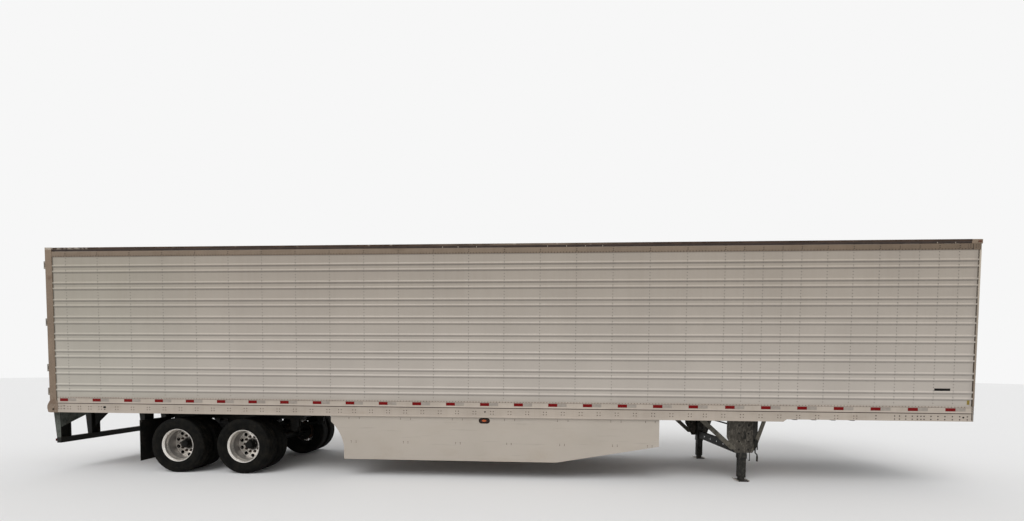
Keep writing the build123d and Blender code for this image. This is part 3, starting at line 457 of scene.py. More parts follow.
def lip_finish():
    """The roof edge: brown dirt, darker to the rear, that has flaked to the pale paint below."""
    finish = Finish("roof_edge", roughness=0.7, ior=1.25)
    (x,) = finish.axes("X")
    bare = x.fade(-6.9, -7.5) * finish.noise(22, 3, stretch=(1, 1, 1.5)).fade(0.45, 0.55) * 0.2
    flake = (finish.noise(7, 8, 0.7, (1, 1, 2.5)) + bare).fade(0.6, 0.65)
    cloud = finish.noise(3, 5, stretch=(1, 1, 2)).fade(0.35, 0.65)
    dark = finish.mix(cloud, tone(54, 41, 33), tone(72, 56, 46))
    light = finish.mix(cloud, tone(84, 72, 61), tone(116, 102, 89))
    brown = finish.mix(x.near(0.7, 2.4), dark, light)
    return finish.done(
        finish.mix(flake * x.fade(3.2, 2.2) * 0.7, brown, tone(160, 150, 138)), 0.75 - flake * 0.25,
        (flake, 0.0006, 0.8), ((60,), 0.001, 0.6))


def zinc_finish(name, base, rust_share):
    """Galvanised steel: spangle, rust bloom, road dirt, and a painted highlight along the roof's edge."""
    finish, zinc = mottled(name, base, 0.1, 2.6, metallic=0.3, roughness=0.55)
    x, z = finish.axes("XZ")
    rust = (finish.noise(6, 7, 0.65) + z.fade(1.6, 1.05) * 0.12).fade(0.55, 0.72)
    spotted = finish.darken(zinc, 0.86 + finish.cells(70, "F1") * 0.35)
    rusty = finish.mix(rust * rust_share, spotted, tone(92, 66, 46))
    grit = finish.noise(55).fade(0.52, 0.62) * z.fade(1.55, 1.25) * 0.35
    gritty = finish.mix(grit, rusty, tone(150, 142, 132))
    # A painted highlight along the top edge above the roof line, stronger towards the rear
    painted_top_highlight = z.fade(4.040, 4.050) * x.fade(0, -7) * finish.noise(24).fade(0.4, 0.46)
    return finish.done(
        finish.mix(painted_top_highlight * 0.8, gritty, tone(176, 166, 152)), 0.5 + rust * 0.35,
        (rust, 0.0004, 0.5), ((90, 3), 0.0003, 0.5), metallic=0.3 - rust * 0.3)


def front_post_finish():
    """The nose frame: pale paint above, browner with road dirt towards its foot."""
    finish, metal = mottled("front_frame_alloy", (184, 172, 156), 0.06, metallic=0.1)
    (z,) = finish.axes("Z")
    film = streaks(finish, 14)
    dirty = finish.mix(z.fade(3.6, 1.4) * 0.75, metal, tone(112, 94, 78))
    return finish.done(finish.darken(dirty, 1 - film * 0.2), 0.45 + film * 0.3, ((40, 3), 0.0004, 0.4))


def undergear_finish():
    """Black chassis paint under dust and rust, dustier on faces that look up."""
    finish, paint = mottled("chassis_paint", (20, 20, 17), 0.2, 3, roughness=0.62, ior=1.3)
    facing = finish.node("ShaderNodeNewGeometry").outputs["Normal"]
    up = finish.number("ShaderNodeSeparateXYZ", {0: facing}, "Z")
    dust = up.fade(0.1, 0.9) * 0.6 + finish.noise(4, 7, 0.7).fade(0.48, 0.7) * 0.25
    rust = finish.noise(11, 8, 0.7).fade(0.6, 0.7)
    dusty = finish.mix(dust * 0.8, paint, tone(70, 61, 50))
    return finish.done(
        finish.mix(rust * 0.6, dusty, tone(66, 42, 29)), 0.55 + dust * 0.35,
        (rust, 0.0005, 0.6), ((70,), 0.0006, 0.5))


def gear_finish(name, base, pale_share, marked=False):
    """Landing gear plates and legs: weathered zinc under dark dirt, and the stains of a wing plate."""
    finish, zinc = mottled(name, base, 0.22, 4, metallic=0.15, roughness=0.65, ior=1.35)
    x, z = finish.axes("XZ")
    patch = finish.noise(6, 8, 0.7, (1, 1, 0.6)).fade(0.46, 0.62)
    pale = finish.noise(38, 6, 0.75, (1, 1, 0.5)).fade(0.5, 0.6)
    stained = finish.mix(patch * 0.55 + z.fade(0.75, 0.35) * 0.3, zinc, tone(24, 22, 19))
    colour = finish.mix(pale * pale_share, stained, tone(106, 100, 92))
    if marked:
        arrow = ((x - 4.523).size() - ((0.885 - z) * 0.14 + 0.006)).fade(0.006, -0.004)
        arrow = arrow * z.fade(0.738, 0.748) * z.fade(0.892, 0.880)
        strip = x.fade(4.653, 4.662) * z.fade(0.60, 0.66)
        colour = finish.mix(arrow.most(strip) * 0.75, colour, tone(18, 17, 14))
    return finish.done(colour, 0.5 + patch * 0.3, ((50,), 0.0006, 0.5))


def skirt_finish():
    """Smooth composite skirt panels: pale, with road spray thrown up from below."""
    finish, panel = mottled("skirt_composite", "skirt", 0.03, 1.1, roughness=0.48)
    (z,) = finish.axes("Z")
    spray = (z.fade(0.75, 0.3) * 0.5 + 0.3) * finish.noise(3, 6, stretch=(0.6, 1, 1.2)).fade(0.42, 0.72)
    scuff = finish.noise(9, 6, stretch=(0.15, 1, 4)).fade(0.62, 0.7)
    dirty = finish.mix(spray * 0.3, panel, tone(150, 134, 114))
    return finish.done(
        finish.darken(dirty, 1 - scuff * 0.12), 0.42 + spray * 0.4,
        ((1.2, 1), 0.004, 0.4), ((220, 2), 0.0001, 0.3))


def foot_finish():
    """Landing gear feet: dark, with their turned-up ends worn bright."""
    finish, steel = mottled("foot_steel", (44, 41, 36), 0.2, 9, metallic=0.3, roughness=0.6)
    (x,) = finish.axes("X")
    worn = (x - LEG_X).size().fade(0.080, 0.090) * finish.noise(30).fade(0.3, 0.45)
    return finish.done(finish.mix(worn, steel, tone(182, 174, 164)), 0.6 - worn * 0.25, ((60,), 0.0006, 0.5))


def rubber_finish(name, base, dust_level):
    """Black rubber with a grey bloom of dust."""
    finish, rubber = mottled(name, base, 0.15, 5, roughness=0.75, ior=1.25)
    dust = finish.noise(6, 7, 0.65).fade(0.45, 0.75) * dust_level
    return finish.done(finish.mix(dust, rubber, tone(104, 94, 82)), 0.65 + dust * 0.3, ((120, 3), 0.0005, 0.5))


def tyre_finish():
    """Tyre rubber: darkest in the grooves, dusty over the tread and sidewall."""
    finish = Finish("tyre_rubber", roughness=0.8, ior=1.17)
    cloud = finish.noise(7, 7, 0.7)
    dust = finish.attribute("worn") * cloud.fade(0.42, 0.78)
    scuffed = finish.mix(cloud.fade(0.3, 0.7), tone(9, 9, 8), tone(16, 16, 14))
    return finish.done(
        finish.mix(dust * 0.5, scuffed, tone(60, 54, 46)), 0.68 + dust * 0.25, ((140, 3), 0.0006, 0.5))


def alloy_finish():
    """Polished aluminium rims: water marks, brake dust about the hub, and painted shade along a groove and on
    the barrel by the disc.
    """
    finish = Finish("rim_alloy", tone(206, 200, 192), metallic=0.85, roughness=0.3)
    cloud = finish.noise(5, 5, 0.6)
    marks = finish.noise(60, 3)
    x, y, z = finish.axes("XYZ")
    along = (x + BOGIE_SETBACK).size() - AXLE_HALF
    radius = (along * along + (z - HUB_Z) ** 2).maths("SQRT")
    across = y.size()
    # band: painted shade on the barrel towards the disc, and a lighter painted shade along a groove near the
    # flange
    band = (across.fade(1.168, 1.150) * 0.72).most(across.near(1.217, 0.018) * 0.3)
    # With the brake dust about the hub, this is dirt and painted shade
    grime = (band * radius.fade(0.2555, 0.2565)).most(radius.fade(0.130, 0.105) * 0.85)
    grime = grime * (marks * 0.4 + 0.75)
    dirt = cloud.fade(0.52, 0.8).most(grime, clamp=True)
    dull = finish.mix(cloud.fade(0.52, 0.8) * 0.3, tone(232, 227, 220), tone(140, 128, 114))
    # The dark tone is brake dust about the hub and painted shade on the barrel
    return finish.done(
        finish.mix(grime, dull, tone(40, 34, 29)), 0.24 + dirt * 0.25 + marks * 0.08, (marks, 0.0001, 0.3),
        metallic=0.85 - dirt * 0.3)


def iron_finish():
    """Bare cast iron of drums and hubs with a coat of rust."""
    finish, iron = mottled("cast_iron", (58, 46, 38), 0.25, 8, metallic=0.2, roughness=0.75)
    rust = finish.noise(14, 8, 0.7).fade(0.45, 0.65)
    return finish.done(finish.mix(rust * 0.7, iron, tone(96, 60, 38)), None, ((90, 5), 0.001, 0.7))


def bolt_finish(name, base):
    """Plated bolts and rivets, each a little different."""
    finish, zinc = mottled(name, base, 0.2, 30, metallic=0.45, roughness=0.45)
    return finish.done(zinc, 0.35 + finish.cloud * 0.3, ((300, 2), 0.0002, 0.4))


def rivet_finish():
    """Rivet heads in the wall: painted with it, ringed by dirt."""
    finish, paint = mottled("painted_rivet", "skin", 0.15, 20)
    (z,) = finish.axes("Z")
    dirty = finish.darken(paint, 0.33 - z.fade(2.4, 3.9) * 0.08 + finish.cloud * 0.1)
    return finish.done(dirty, 0.4 + finish.cloud * 0.25, ((250, 2), 0.0002, 0.4))


def sealant_finish():
    """Old dark sealer and dirt in the joints."""
    finish, dark = mottled("joint_sealer", (58, 46, 40), 0.25, 12, roughness=0.8)
    return finish.done(dark, 0.7 + finish.cloud * 0.2, ((80, 5), 0.002, 0.8))


def tape_finish(name, base, shine, ior=1.4, dust=(110, 84, 72)):
    """Reflective tape: a fine prism pattern below a smooth face, faded at its edges."""
    finish, film = mottled(name, base, 0.08, 14, roughness=0.35, ior=ior)
    prism = finish.cells(420)
    dirt = finish.noise(16, 5).fade(0.5, 0.75)
    lit = finish.darken(film, 0.92 + prism * shine)
    return finish.done(finish.mix(dirt * 0.2, lit, tone(*dust)), 0.3 + dirt * 0.4, (prism, 0.0002, 0.3))


def lens_finish(name, base):
    """Moulded plastic lens with an optic pattern pressed in it."""
    finish, plastic = mottled(name, base, 0.1, 25, roughness=0.18, ior=1.35)
    optic = finish.cells(150)
    lit = finish.darken(plastic, 0.75 + optic * 1.4)
    return finish.done(lit, 0.2 + finish.cloud * 0.2, (optic, 0.0008, 0.4))


def side_lens_finish():
    """The skirt lamp's lens: amber in the middle and dark with dirt to its ends."""
    finish, plastic = mottled("skirt_lens", (176, 84, 40), 0.1, 25, roughness=0.3, ior=1.35)
    x, z = finish.axes("XZ")
    away = (((x + 0.014) / 0.041) ** 2 + ((z - 1.026) / 0.019) ** 2).maths("SQRT")
    optic = finish.cells(150)
    lit = finish.darken(plastic, 0.8 + optic * 1.2)
    return finish.done(
        finish.mix(away.fade(0.75, 1.15), lit, tone(36, 19, 11)), 0.25 + finish.cloud * 0.2,
        (optic, 0.0008, 0.4))


def roof_finish():
    """Roof sheet: dull aluminium, sagging a little between bows, with dried puddles."""
    finish, sheet = mottled("roof_sheet", (172, 168, 160), 0.06, 0.8, metallic=0.3)
    (x,) = finish.axes("X")
    puddle = finish.noise(1.6, 7, 0.6).fade(0.5, 0.6)
    dirt = finish.noise(6, 6).fade(0.45, 0.7)
    stained = finish.mix(puddle * 0.4, sheet, tone(140, 128, 112))
    sag = (x * (math.tau / BAY)).maths("COSINE")
    return finish.done(
        finish.darken(stained, 1 - dirt * 0.15), 0.42 + puddle * 0.25, (sag, 0.003, 0.5), ((3, 3), 0.002, 0.4))


def floor_finish():
    """Laminated oak strips along the load floor, worn in the middle."""
    finish = Finish("oak_floor", roughness=0.65)
    (y,) = finish.axes("Y")
    joint = (y * 28).maths("FRACT").near(0.5, 0.5).fade(0.02, 0.08)
    grain = finish.noise(40, 6, 0.7, (0.05, 1, 1))
    board = finish.noise(1.0, 0, stretch=(0.35, 28, 1))
    wood = finish.mix(board * 0.6 + grain * 0.4, tone(118, 86, 58), tone(178, 140, 98))
    wear = finish.noise(2.2, 6).fade(0.45, 0.7) * y.near(0, 1.1)
    worn = finish.mix(wear * 0.6, wood, tone(110, 98, 84))
    return finish.done(
        finish.darken(worn, 0.55 + joint * 0.45), 0.55 + wear * 0.25, (joint, 0.001, 0.6), (grain, 0.0005, 0.4))


def liner_finish():
    """Plywood lining between the wall posts, with a steel scuff band at its foot."""
    finish = Finish("wall_liner", roughness=0.6)
    x, z = finish.axes("XZ")
    grain = finish.noise(14, 6, 0.65, (1, 1, 0.08))
    ply = finish.mix(grain.fade(0.3, 0.7), tone(150, 118, 82), tone(190, 160, 120))
    drawn = finish.noise(5, 6, stretch=(0.3, 1, 2)).fade(0.4, 0.7)
    steel = finish.mix(drawn, tone(150, 146, 140), tone(112, 104, 96))
    post = ((x / BAY).maths("FRACT") - 0.5).size().fade(0.465, 0.47)
    scuff = z.fade(1.561, 1.559)
    scrape = finish.noise(6, 7, 0.7, (0.2, 1, 3)).fade(0.56, 0.66) * 0.35
    lined = finish.mix(scuff, finish.mix(post, ply, tone(142, 138, 132)), steel)
    return finish.done(
        finish.darken(lined, 1 - scrape), None, (post + scuff, 0.002, 0.7), (grain, 0.0006, 0.4),
        metallic=scuff * 0.5)


def door_finish():
    """Door panels: white face on plywood, rubbed where the rods and hands go."""
    finish, paint = mottled("door_panel", "door", 0.04, 1.3, roughness=0.45, coat=0.1)
    (z,) = finish.axes("Z")
    runs = streaks(finish, 14) * 0.14
    low = z.fade(1.7, 1.27) * finish.noise(5, 5) * 0.3
    return finish.done(finish.darken(paint, 1 - (runs + low)), 0.38 + runs * 1.5, ((2.0, 2), 0.002, 0.4))


# Finish: its maker, and what the maker is given
FINISHES = {
    "white_skin": (skin_finish,),
    "rail_aluminium": (rail_finish,),
    "galvanised": (zinc_finish, "rear_frame_steel", "post", 0.6),
    "hardware": (zinc_finish, "door_hardware", (132, 126, 117), 0.35),
    "undergear": (undergear_finish,),
    "floor_wood": (floor_finish,),
    "skirt_panel": (skirt_finish,),
    "rubber": (rubber_finish, "moulded_rubber", (15, 15, 13), 0.15),
    "void": (rubber_finish, "hole_shadow", (9, 8, 7), 0.03),
    "lamp_mount": (rubber_finish, "lamp_mount", (34, 22, 15), 0.05),
    "tyre": (tyre_finish,),
    "wheel_alloy": (alloy_finish,),
    "roof_edge": (lip_finish,),
    "front_post": (front_post_finish,),
    "landing_gear": (gear_finish, "landing_gear_zinc", (62, 58, 51), 0.6, True),
    "brace": (gear_finish, "brace_zinc", (84, 80, 71), 0.5),
    "leg_steel": (gear_finish, "leg_steel", (32, 31, 27), 0.25),
    "zinc_plate": (gear_finish, "zinc_plate", (82, 86, 80), 0.3),
    "foot": (foot_finish,),
    "cast_iron": (iron_finish,),
    "bolt": (bolt_finish, "zinc_fastener", (120, 112, 102)),
    "nut": (bolt_finish, "wheel_nut", (62, 50, 42)),
    "fastener": (bolt_finish, "rail_fastener", (64, 54, 46)),
    "dark_fastener": (bolt_finish, "dark_fastener", (44, 36, 31)),
    "rivet": (rivet_finish,),
    "sealer": (sealant_finish,),
    "tape_red": (tape_finish, "red_tape", (112, 9, 12), 0.3, 1.2, (90, 40, 34)),
    "tape_white": (tape_finish, "white_tape", (151, 143, 134), 0.3),
    "tape_clean": (tape_finish, "clean_white_tape", (196, 192, 184), 0.4),
    "sticker": (tape_finish, "yellow_sticker", (126, 106, 32), 0.3),
    "lens_red": (lens_finish, "red_lens", (118, 10, 9)),
    "lens_dim": (lens_finish, "dull_lens", (92, 52, 34)),
    "side_lens": (side_lens_finish,),
    "roof": (roof_finish,),
    "liner": (liner_finish,),
    "door": (door_finish,),
}
# CAD nodes, by how their names start, whose finish isn't their record slot's; later ones win
NODE_FINISHES = (
    ("roof", "roof"), ("roof_bows", "rail_aluminium"), ("front_frame", "front_post"),
    ("front_wall", "white_skin"), ("corner_caps", "galvanised"), ("corner_lamps", "lens_dim"),
    ("side_lamps", "side_lens"),
    ("leg_mounts", "landing_gear"), ("leg_braces", "brace"), ("landing_legs", "leg_steel"),
    ("landing_feet", "foot"), ("door_", "hardware"), ("lock_rods_", "hardware"), ("door_left", "door"),
    ("door_right", "door"), ("floor", "floor_wood"),
)


@cache
def finish_for(name):
    """A finish, made the first time that it is asked for."""
    maker, *given = FINISHES[name]
    return maker(*given)


def smoothed(mesh, sharp):
    """A mesh shaded smooth, but for edges sharper than an angle in degrees."""
    mesh.shade_smooth()
    mesh.set_sharp_from_angle(angle=math.radians(sharp))
    return mesh


def place(name, made, wear, body="root", slot=None, replaced=None, sharp=35, weld=WELD):
    """A finished piece from a mesh or a bmesh: linked at the origin, given finishes and riding on its body.

    A bmesh first gets its doubles merged and its faces turned outward.
    """
    mesh = made
    if isinstance(made, bmesh.types.BMesh):
        if weld:
            bmesh.ops.remove_doubles(made, verts=made.verts, dist=weld)
        bmesh.ops.recalc_face_normals(made, faces=made.faces)
        mesh = bpy.data.meshes.new(name)
        made.to_mesh(mesh)
        made.free()
        smoothed(mesh, sharp)
        for key in wear.split():
            mesh.materials.append(finish_for(key))
    piece = bpy.data.objects.new(name, mesh)
    bpy.context.scene.collection.objects.link(piece)
    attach(piece, body)
    if replaced:
        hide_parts(replaced)


def rings_over(work, rings, around=True, ends=False, slot=None):
    """Faces between rings of points, the last joined to the first, or with a face over both ends.

    around joins each ring's own ends. slot gives a face's finish from the indices of its ring and point.
    """
    rows = [[work.verts.new(point) for point in ring] for ring in rings]
    count = len(rows[0])
    for row, (first, second) in enumerate(zip(rows, rows[1:] if ends else rows[1:] + rows[:1])):
        for index in range(count if around else count - 1):
            after = (index + 1) % count
            corners = (first[index], first[after], second[after], second[index])
            if len({tuple(corner.co) for corner in corners}) > 2:
                work.faces.new(corners).material_index = slot(row, index) if slot else 0
    for row in (rows[0], rows[-1]) if ends else ():
        work.faces.new(row)
    return rows


def bar(work, side, outline, stations, slot=None):
    """A closed (|Y|, Z) outline run along X through stations on one side."""
    rings_over(work, [[(x, side * y, z) for y, z in outline] for x in stations], ends=True, slot=slot)


def beam(work, outline, start, end, slot=0):
    """A closed (X, Z) outline run along Y between two places."""
    rings = [[(x, y, z) for x, z in outline] for y in (start, end)]
    rings_over(work, rings, ends=True, slot=lambda row, index: slot)


def turns(count, start=0.0):
    """Cosine and sine at a full turn's equal steps."""
    angles = [math.tau * (step + start) / count for step in range(count)]
    return [(math.cos(angle), math.sin(angle)) for angle in angles]


def turned(work, steps, ring, around=True):
    """Rings about an axis: ring gives the points of one from its turn's cosine and sine."""
    rings_over(work, [ring(across, up) for across, up in turns(steps)], around)


def lathed(work, section, x, side, steps):
    """A closed section of (radius, |Y|) points turned about a wheel's axis."""
    turned(work, steps, lambda across, up: [
        (x + radius * across, side * y, HUB_Z + radius * up) for radius, y in section])


def slab(work, low, high, bevel=0.0, side=1):
    """A box between two corners, mirrored to a side, its edges eased."""
    spans = [sorted(pair) for pair in zip(low, high)]
    spans[1] = sorted(side * y for y in spans[1])
    low, high = (Vector(corner) for corner in zip(*spans))
    made = bmesh.ops.create_cube(work, size=1)["verts"]
    for vertex in made:
        vertex.co = Vector(part * length for part, length in zip(vertex.co, high - low)) + (high + low) / 2
    if bevel:
        edges = list(dict.fromkeys(edge for vertex in made for edge in vertex.link_edges))
        bmesh.ops.bevel(work, geom=edges, offset=bevel, segments=2, affect="EDGES", profile=0.6)


def slabs(*boxes, side=1):
    """A bmesh of boxes, each its low corner, its high corner and perhaps its bevel."""
    work = bmesh.new()
    for box in boxes:
        slab(work, *box, side=side)
    return work


def curve_mesh(lines, kind="POLY", cyclic=False, **settings):
    """The mesh of a curve with one spline through each line of points."""
    curve = bpy.data.curves.new("curve", "CURVE")
    for key, value in settings.items():
        setattr(curve, key, value)
    for points in lines:
        line = curve.splines.new(kind)
        line.points.add(len(points) - 1)
        for spot, point in zip(line.points, points):
            spot.co = (*point, 1)
        line.use_cyclic_u = cyclic
        line.order_u = 3
        line.use_endpoint_u = True
    carrier = bpy.data.objects.new("curve", curve)
    mesh = bpy.data.meshes.new_from_object(carrier)
    bpy.data.objects.remove(carrier)
    bpy.data.curves.remove(curve)
    return mesh


def tube(points, radius, smooth=False, rounding=2):
    """A round rod or pipe through points."""
    return curve_mesh([points], "NURBS" if smooth else "POLY", dimensions="3D", bevel_depth=radius,
                      bevel_resolution=rounding, use_fill_caps=True, resolution_u=6)


def disc_mesh(x, y, inner, outer, thick, holes):
    """A round plate across a wheel's axis, from y outwards by thick, with holes of (across, up, radius)."""
    circles = [(0, 0, outer, 72), (0, 0, inner, 48), *((*hole, 24) for hole in holes)]
    lines = [[(across + radius * cosine, up + radius * sine, 0) for cosine, sine in turns(steps)]
             for across, up, radius, steps in circles]
    mesh = curve_mesh(lines, cyclic=True, dimensions="2D", fill_mode="BOTH", bevel_resolution=1,
                      bevel_depth=DISC_BEVEL, extrude=abs(thick) / 2 - DISC_BEVEL)
    for vertex in mesh.vertices:
        across, up, out = vertex.co
        vertex.co = (x + across, y + thick / 2 + out, HUB_Z + up)
    return mesh


def gathered(work, meshes):
    """A bmesh with several meshes' faces added."""
    for mesh in meshes:
        work.from_mesh(mesh)
        bpy.data.meshes.remove(mesh)
    return work


class Tree(Nodes):
    """A Geometry Nodes tree with named inputs."""

    def __init__(self, name, **numbers):
        super().__init__(bpy.data.node_groups.new(name, "GeometryNodeTree"))
        for way in ("INPUT", "OUTPUT"):
            self.tree.interface.new_socket("Geometry", in_out=way, socket_type="NodeSocketGeometry")
        self.start = self.node("NodeGroupInput")
        self.inputs = [self.input(key.replace("_", " "), value) for key, value in numbers.items()]

    def input(self, name, default, kind="Float"):
        """A named input."""
        socket = self.tree.interface.new_socket(name, in_out="INPUT", socket_type="NodeSocket" + kind)
        if default is not None:
            socket.default_value = default
        return self.start.outputs[name]

    def maths(self, operation, first, second):
        """One Math node."""
        return self.node("ShaderNodeMath", {0: first, 1: second}, operation=operation)

    def cylinder(self, sides, radius, depth, lift=None):
        """A cylinder along Z, lifted where a node gives half its height."""
        made = self.node("GeometryNodeMeshCylinder", {"Vertices": sides, "Radius": radius, "Depth": depth})
        if lift is None:
            return made
        up = self.node("ShaderNodeCombineXYZ", {2: lift})
        return self.node("GeometryNodeTransform", {"Geometry": made, "Translation": up})

    def finish(self, geometry):
        """Ends the tree in real geometry with its material."""
        real = self.node("GeometryNodeRealizeInstances", {0: geometry})
        wear = self.input("Finish", None, "Material")
        dressed = self.node("GeometryNodeSetMaterial", {"Geometry": real, "Material": wear})
        self.node("NodeGroupOutput", {0: dressed})
        return self.tree

    def heads(self, shape, twist):
        """Ends the tree in a shape at each point, its Z along the point's facing, turned by a seeded amount."""
        facing = self.node("GeometryNodeInputNamedAttribute", {"Name": "facing"}, data_type="FLOAT_VECTOR")
        aligned = self.node("FunctionNodeAlignRotationToVector", {"Vector": facing}, axis="Z")
        chance = self.node("FunctionNodeRandomValue", {"Min": (0, 0, 0), "Max": (0, 0, twist), "Seed": 5},
                           data_type="FLOAT_VECTOR")
        turned = self.node("FunctionNodeRotateRotation", {"Rotation": aligned, "Rotate By": chance},
                           rotation_space="LOCAL")
        return self.finish(self.node("GeometryNodeInstanceOnPoints", {
            "Points": self.start, "Instance": shape, "Rotation": turned}))


@cache
def rivet_tree():
    """Low round rivet heads."""
    tree = Tree("Rivet heads", Radius=0.006, Height=0.003)
    radius, height = tree.inputs
    ball = tree.node("GeometryNodeMeshUVSphere", {"Segments": 8, "Rings": 3, "Radius": 1.0})
    flat = tree.node("ShaderNodeCombineXYZ", {0: radius, 1: radius, 2: height})
    return tree.heads(tree.node("GeometryNodeTransform", {"Geometry": ball, "Scale": flat}), 0.8)


@cache
def bolt_tree():
    """Hexagon heads or nuts on round washers, with the stud's end where one shows."""
    tree = Tree("Bolt heads", Radius=0.011, Height=0.008, Washer_radius=0.016, Stud_length=0.0)
    radius, height, washer, stud = tree.inputs
    head = tree.cylinder(6, radius, height, tree.maths("MULTIPLY", height, 0.5))
    plate = tree.cylinder(16, washer, 0.004)
    end = tree.maths("ADD", height, stud)
    tip = tree.cylinder(10, tree.maths("MULTIPLY", radius, 0.55), end, tree.maths("MULTIPLY", end, 0.5))
    return tree.heads(tree.node("GeometryNodeJoinGeometry", {0: [head, plate, tip]}), math.tau / 6)


@cache
def strip_tree():
    """Like strips in a row, such as tape along a rail."""
    tree = Tree("Tape strips")
    count = tree.input("Count", 5, "Int")
    start, step, size = (tree.input(name, default, "Vector") for name, default in (
        ("Start", (0, 0, 0)), ("Step", (0.6, 0, 0)), ("Size", (0.152, 0.001, 0.05))))
    line = tree.node("GeometryNodeMeshLine", {"Count": count, "Start Location": start, "Offset": step})
    strip = tree.node("GeometryNodeMeshCube", {"Size": size})
    return tree.finish(tree.node("GeometryNodeInstanceOnPoints", {"Points": line, "Instance": strip}))


def grown(name, tree, wear, body, points, facing=None, **values):
    """Runs a tree over points that face their own side, or all one way, and keeps it as a plain mesh."""
    seed = bpy.data.meshes.new(name + "_points")
    seed.from_pydata(points, [], [])
    ways = seed.attributes.new("facing", "FLOAT_VECTOR", "POINT")
    for entry, point in zip(ways.data, points):
        entry.vector = facing or (0, math.copysign(1, point[1]), 0)
    carrier = bpy.data.objects.new(name + "_carrier", seed)
    bpy.context.scene.collection.objects.link(carrier)
    modifier = carrier.modifiers.new("grow", "NODES")
    modifier.node_group = tree
    values["Finish"] = finish_for(wear)
    for item in tree.interface.items_tree:
        key = item.name.replace(" ", "_")
        if item.in_out == "INPUT" and key in values:
            modifier[item.identifier] = values[key]
    view = bpy.context.evaluated_depsgraph_get()
    mesh = bpy.data.meshes.new_from_object(carrier.evaluated_get(view))
    carrier.modifiers.remove(modifier)
    bpy.data.objects.remove(carrier)
    mesh.name = name
    place(name, smoothed(mesh, 40), wear, body)


def rivets(name, points, radius=None, height=None, wear="rivet", body="root", facing=None):
    """Rivet heads at points."""
    sizes = bpy.context.scene.trailer_fasteners
    grown(name, rivet_tree(), wear, body, points, facing, Radius=radius or sizes.rivet_radius,
          Height=height or sizes.rivet_height)


def bolts(name, points, radius, height, wear="bolt", body="root", facing=None, washer=None, stud=0.0):
    """Bolt heads or nuts at points."""
    grown(name, bolt_tree(), wear, body, points, facing, Radius=radius, Height=height,
          Washer_radius=washer or radius * 1.45, Stud_length=stud)


def tape_run(name, start, reach, step, counts, size, body="root"):
    """Red strips and the white ones that follow each; the name's braces take the colour."""
    for shift, (colour, count) in enumerate(zip(("red", "white"), counts)):
        first = [place + shift * part for place, part in zip(start, reach)]
        grown(name.format(colour), strip_tree(), f"tape_{colour}", body, [(0, 0, 0)], Count=count, Start=first,
              Step=step, Size=size)


def bead_profile():
    """(rise, Z, shade and dirt) up the wall's outer face: beads with round crests, painted shade and dirt under
    them and a painted highlight along their crests, darker just above the bottom rail and below the top rail.
    """
    rows = [(0, WALL_LOW.z, 0.5), (0, RAIL_TOP, 0.5), (0, RAIL_TOP + 0.012, 0.0)]
    for middle in reversed(BEADS):
        # dirt here is painted shade with dirt under the bead, and a painted highlight on its crest where below
        # 0
        rows += [(BEAD_RISE * share, middle + lift, dirt) for lift, share, dirt in BEAD_SECTION]
    return rows + [(0, TOP_RAIL_BAND - 0.022, 0.0), (0, TOP_RAIL_BAND - 0.004, 0.7), (0, WALL_HIGH.z, 0.7)]


def wall_columns():
    """(X, how far across its bay, grime) along the wall, with a narrow dirty line at each post."""
    stops = [WALL_LOW.x, *POSTS, GROOVE_X]
    columns = [(WALL_LOW.x, 0.0, 1.0), (REAR_JOINT_X, 0.0, 1.0), (REAR_JOINT_X + 0.0008, 0.0, 0.5),
               (REAR_JOINT_X + 0.01, 0.0, 0.0)]
    for first, second in zip(stops, stops[1:]):
        if first in POSTS:
            columns += [(first - 0.006, 0.0, 0.05), (first + 0.006, 0.0, 0.05), (first + 0.016, 0.05, 0.0)]
        columns += [(first + (second - first) * share, share, 0.0) for share in (0.25, 0.5, 0.75)]
        if second in POSTS:
            columns.append((second - 0.016, 0.95, 0.0))
    return columns + [(GROOVE_X - 0.01, 1.0, 0.3), (GROOVE_X, 1.0, 0.6), (GROOVE_X + 0.0008, 1.0, 1.0),
                      (WALL_HIGH.x, 1.0, 1.0)]


def side_wall(side):
    """One side wall: beaded skin that quilts between its posts, sealed groove at the nose, lined inside."""
    chance = random.Random(11 if side < 0 else 12)
    swell = [chance.uniform(-0.0008, 0.0012) for _ in range(400)]
    profile, columns = bead_profile(), wall_columns()
    work = bmesh.new()
    # Per vertex: painted shade under the beads, a painted highlight along their crests, and dirt along posts
    # and joints
    grime = work.verts.layers.float.new("grime")
    rings, dirt, bay = [], [], 0
    for x, share, line in columns:
        bay += share == 0.0
        ring, marks = [], []
        # Each level's third value: painted shade and dirt above 0, a painted highlight below 0
        for rise, z, shade_and_dirt in profile:
            out = SKIN + rise
            if rise == 0 and RAIL_TOP < z < TOP_RAIL_BAND:
                panel = int((BEAD_TOP - z) / BEAD_PITCH)
                out += swell[(bay * 9 + panel) % len(swell)] * math.sin(math.pi * share)
            if rise < FLAT_RISE and x > GROOVE_X:
                out = SKIN - GROOVE_DEPTH
            if rise < FLAT_RISE and x < REAR_JOINT_X + 0.0001:
                out = SKIN - REAR_JOINT_DEPTH
            ring.append((x, side * out, z))
            marks.append(max(shade_and_dirt, line * (0.3 if rise > FLAT_RISE else 1)) if line else shade_and_dirt)
        rings.append(ring + [(x, side * WALL_INSIDE, z) for z in (WALL_HIGH.z, WALL_LOW.z)])
        dirt.append(marks + [0, 0])

    def slot_of(row, index):
        if index >= len(profile) - 1:
            return 1
        return 2 if columns[row][0] >= GROOVE_X and profile[index][0] < FLAT_RISE else 0

    for row, marks in zip(rings_over(work, rings, ends=True, slot=slot_of), dirt):
        for vertex, mark in zip(row, marks):
            vertex[grime] = mark
    return work


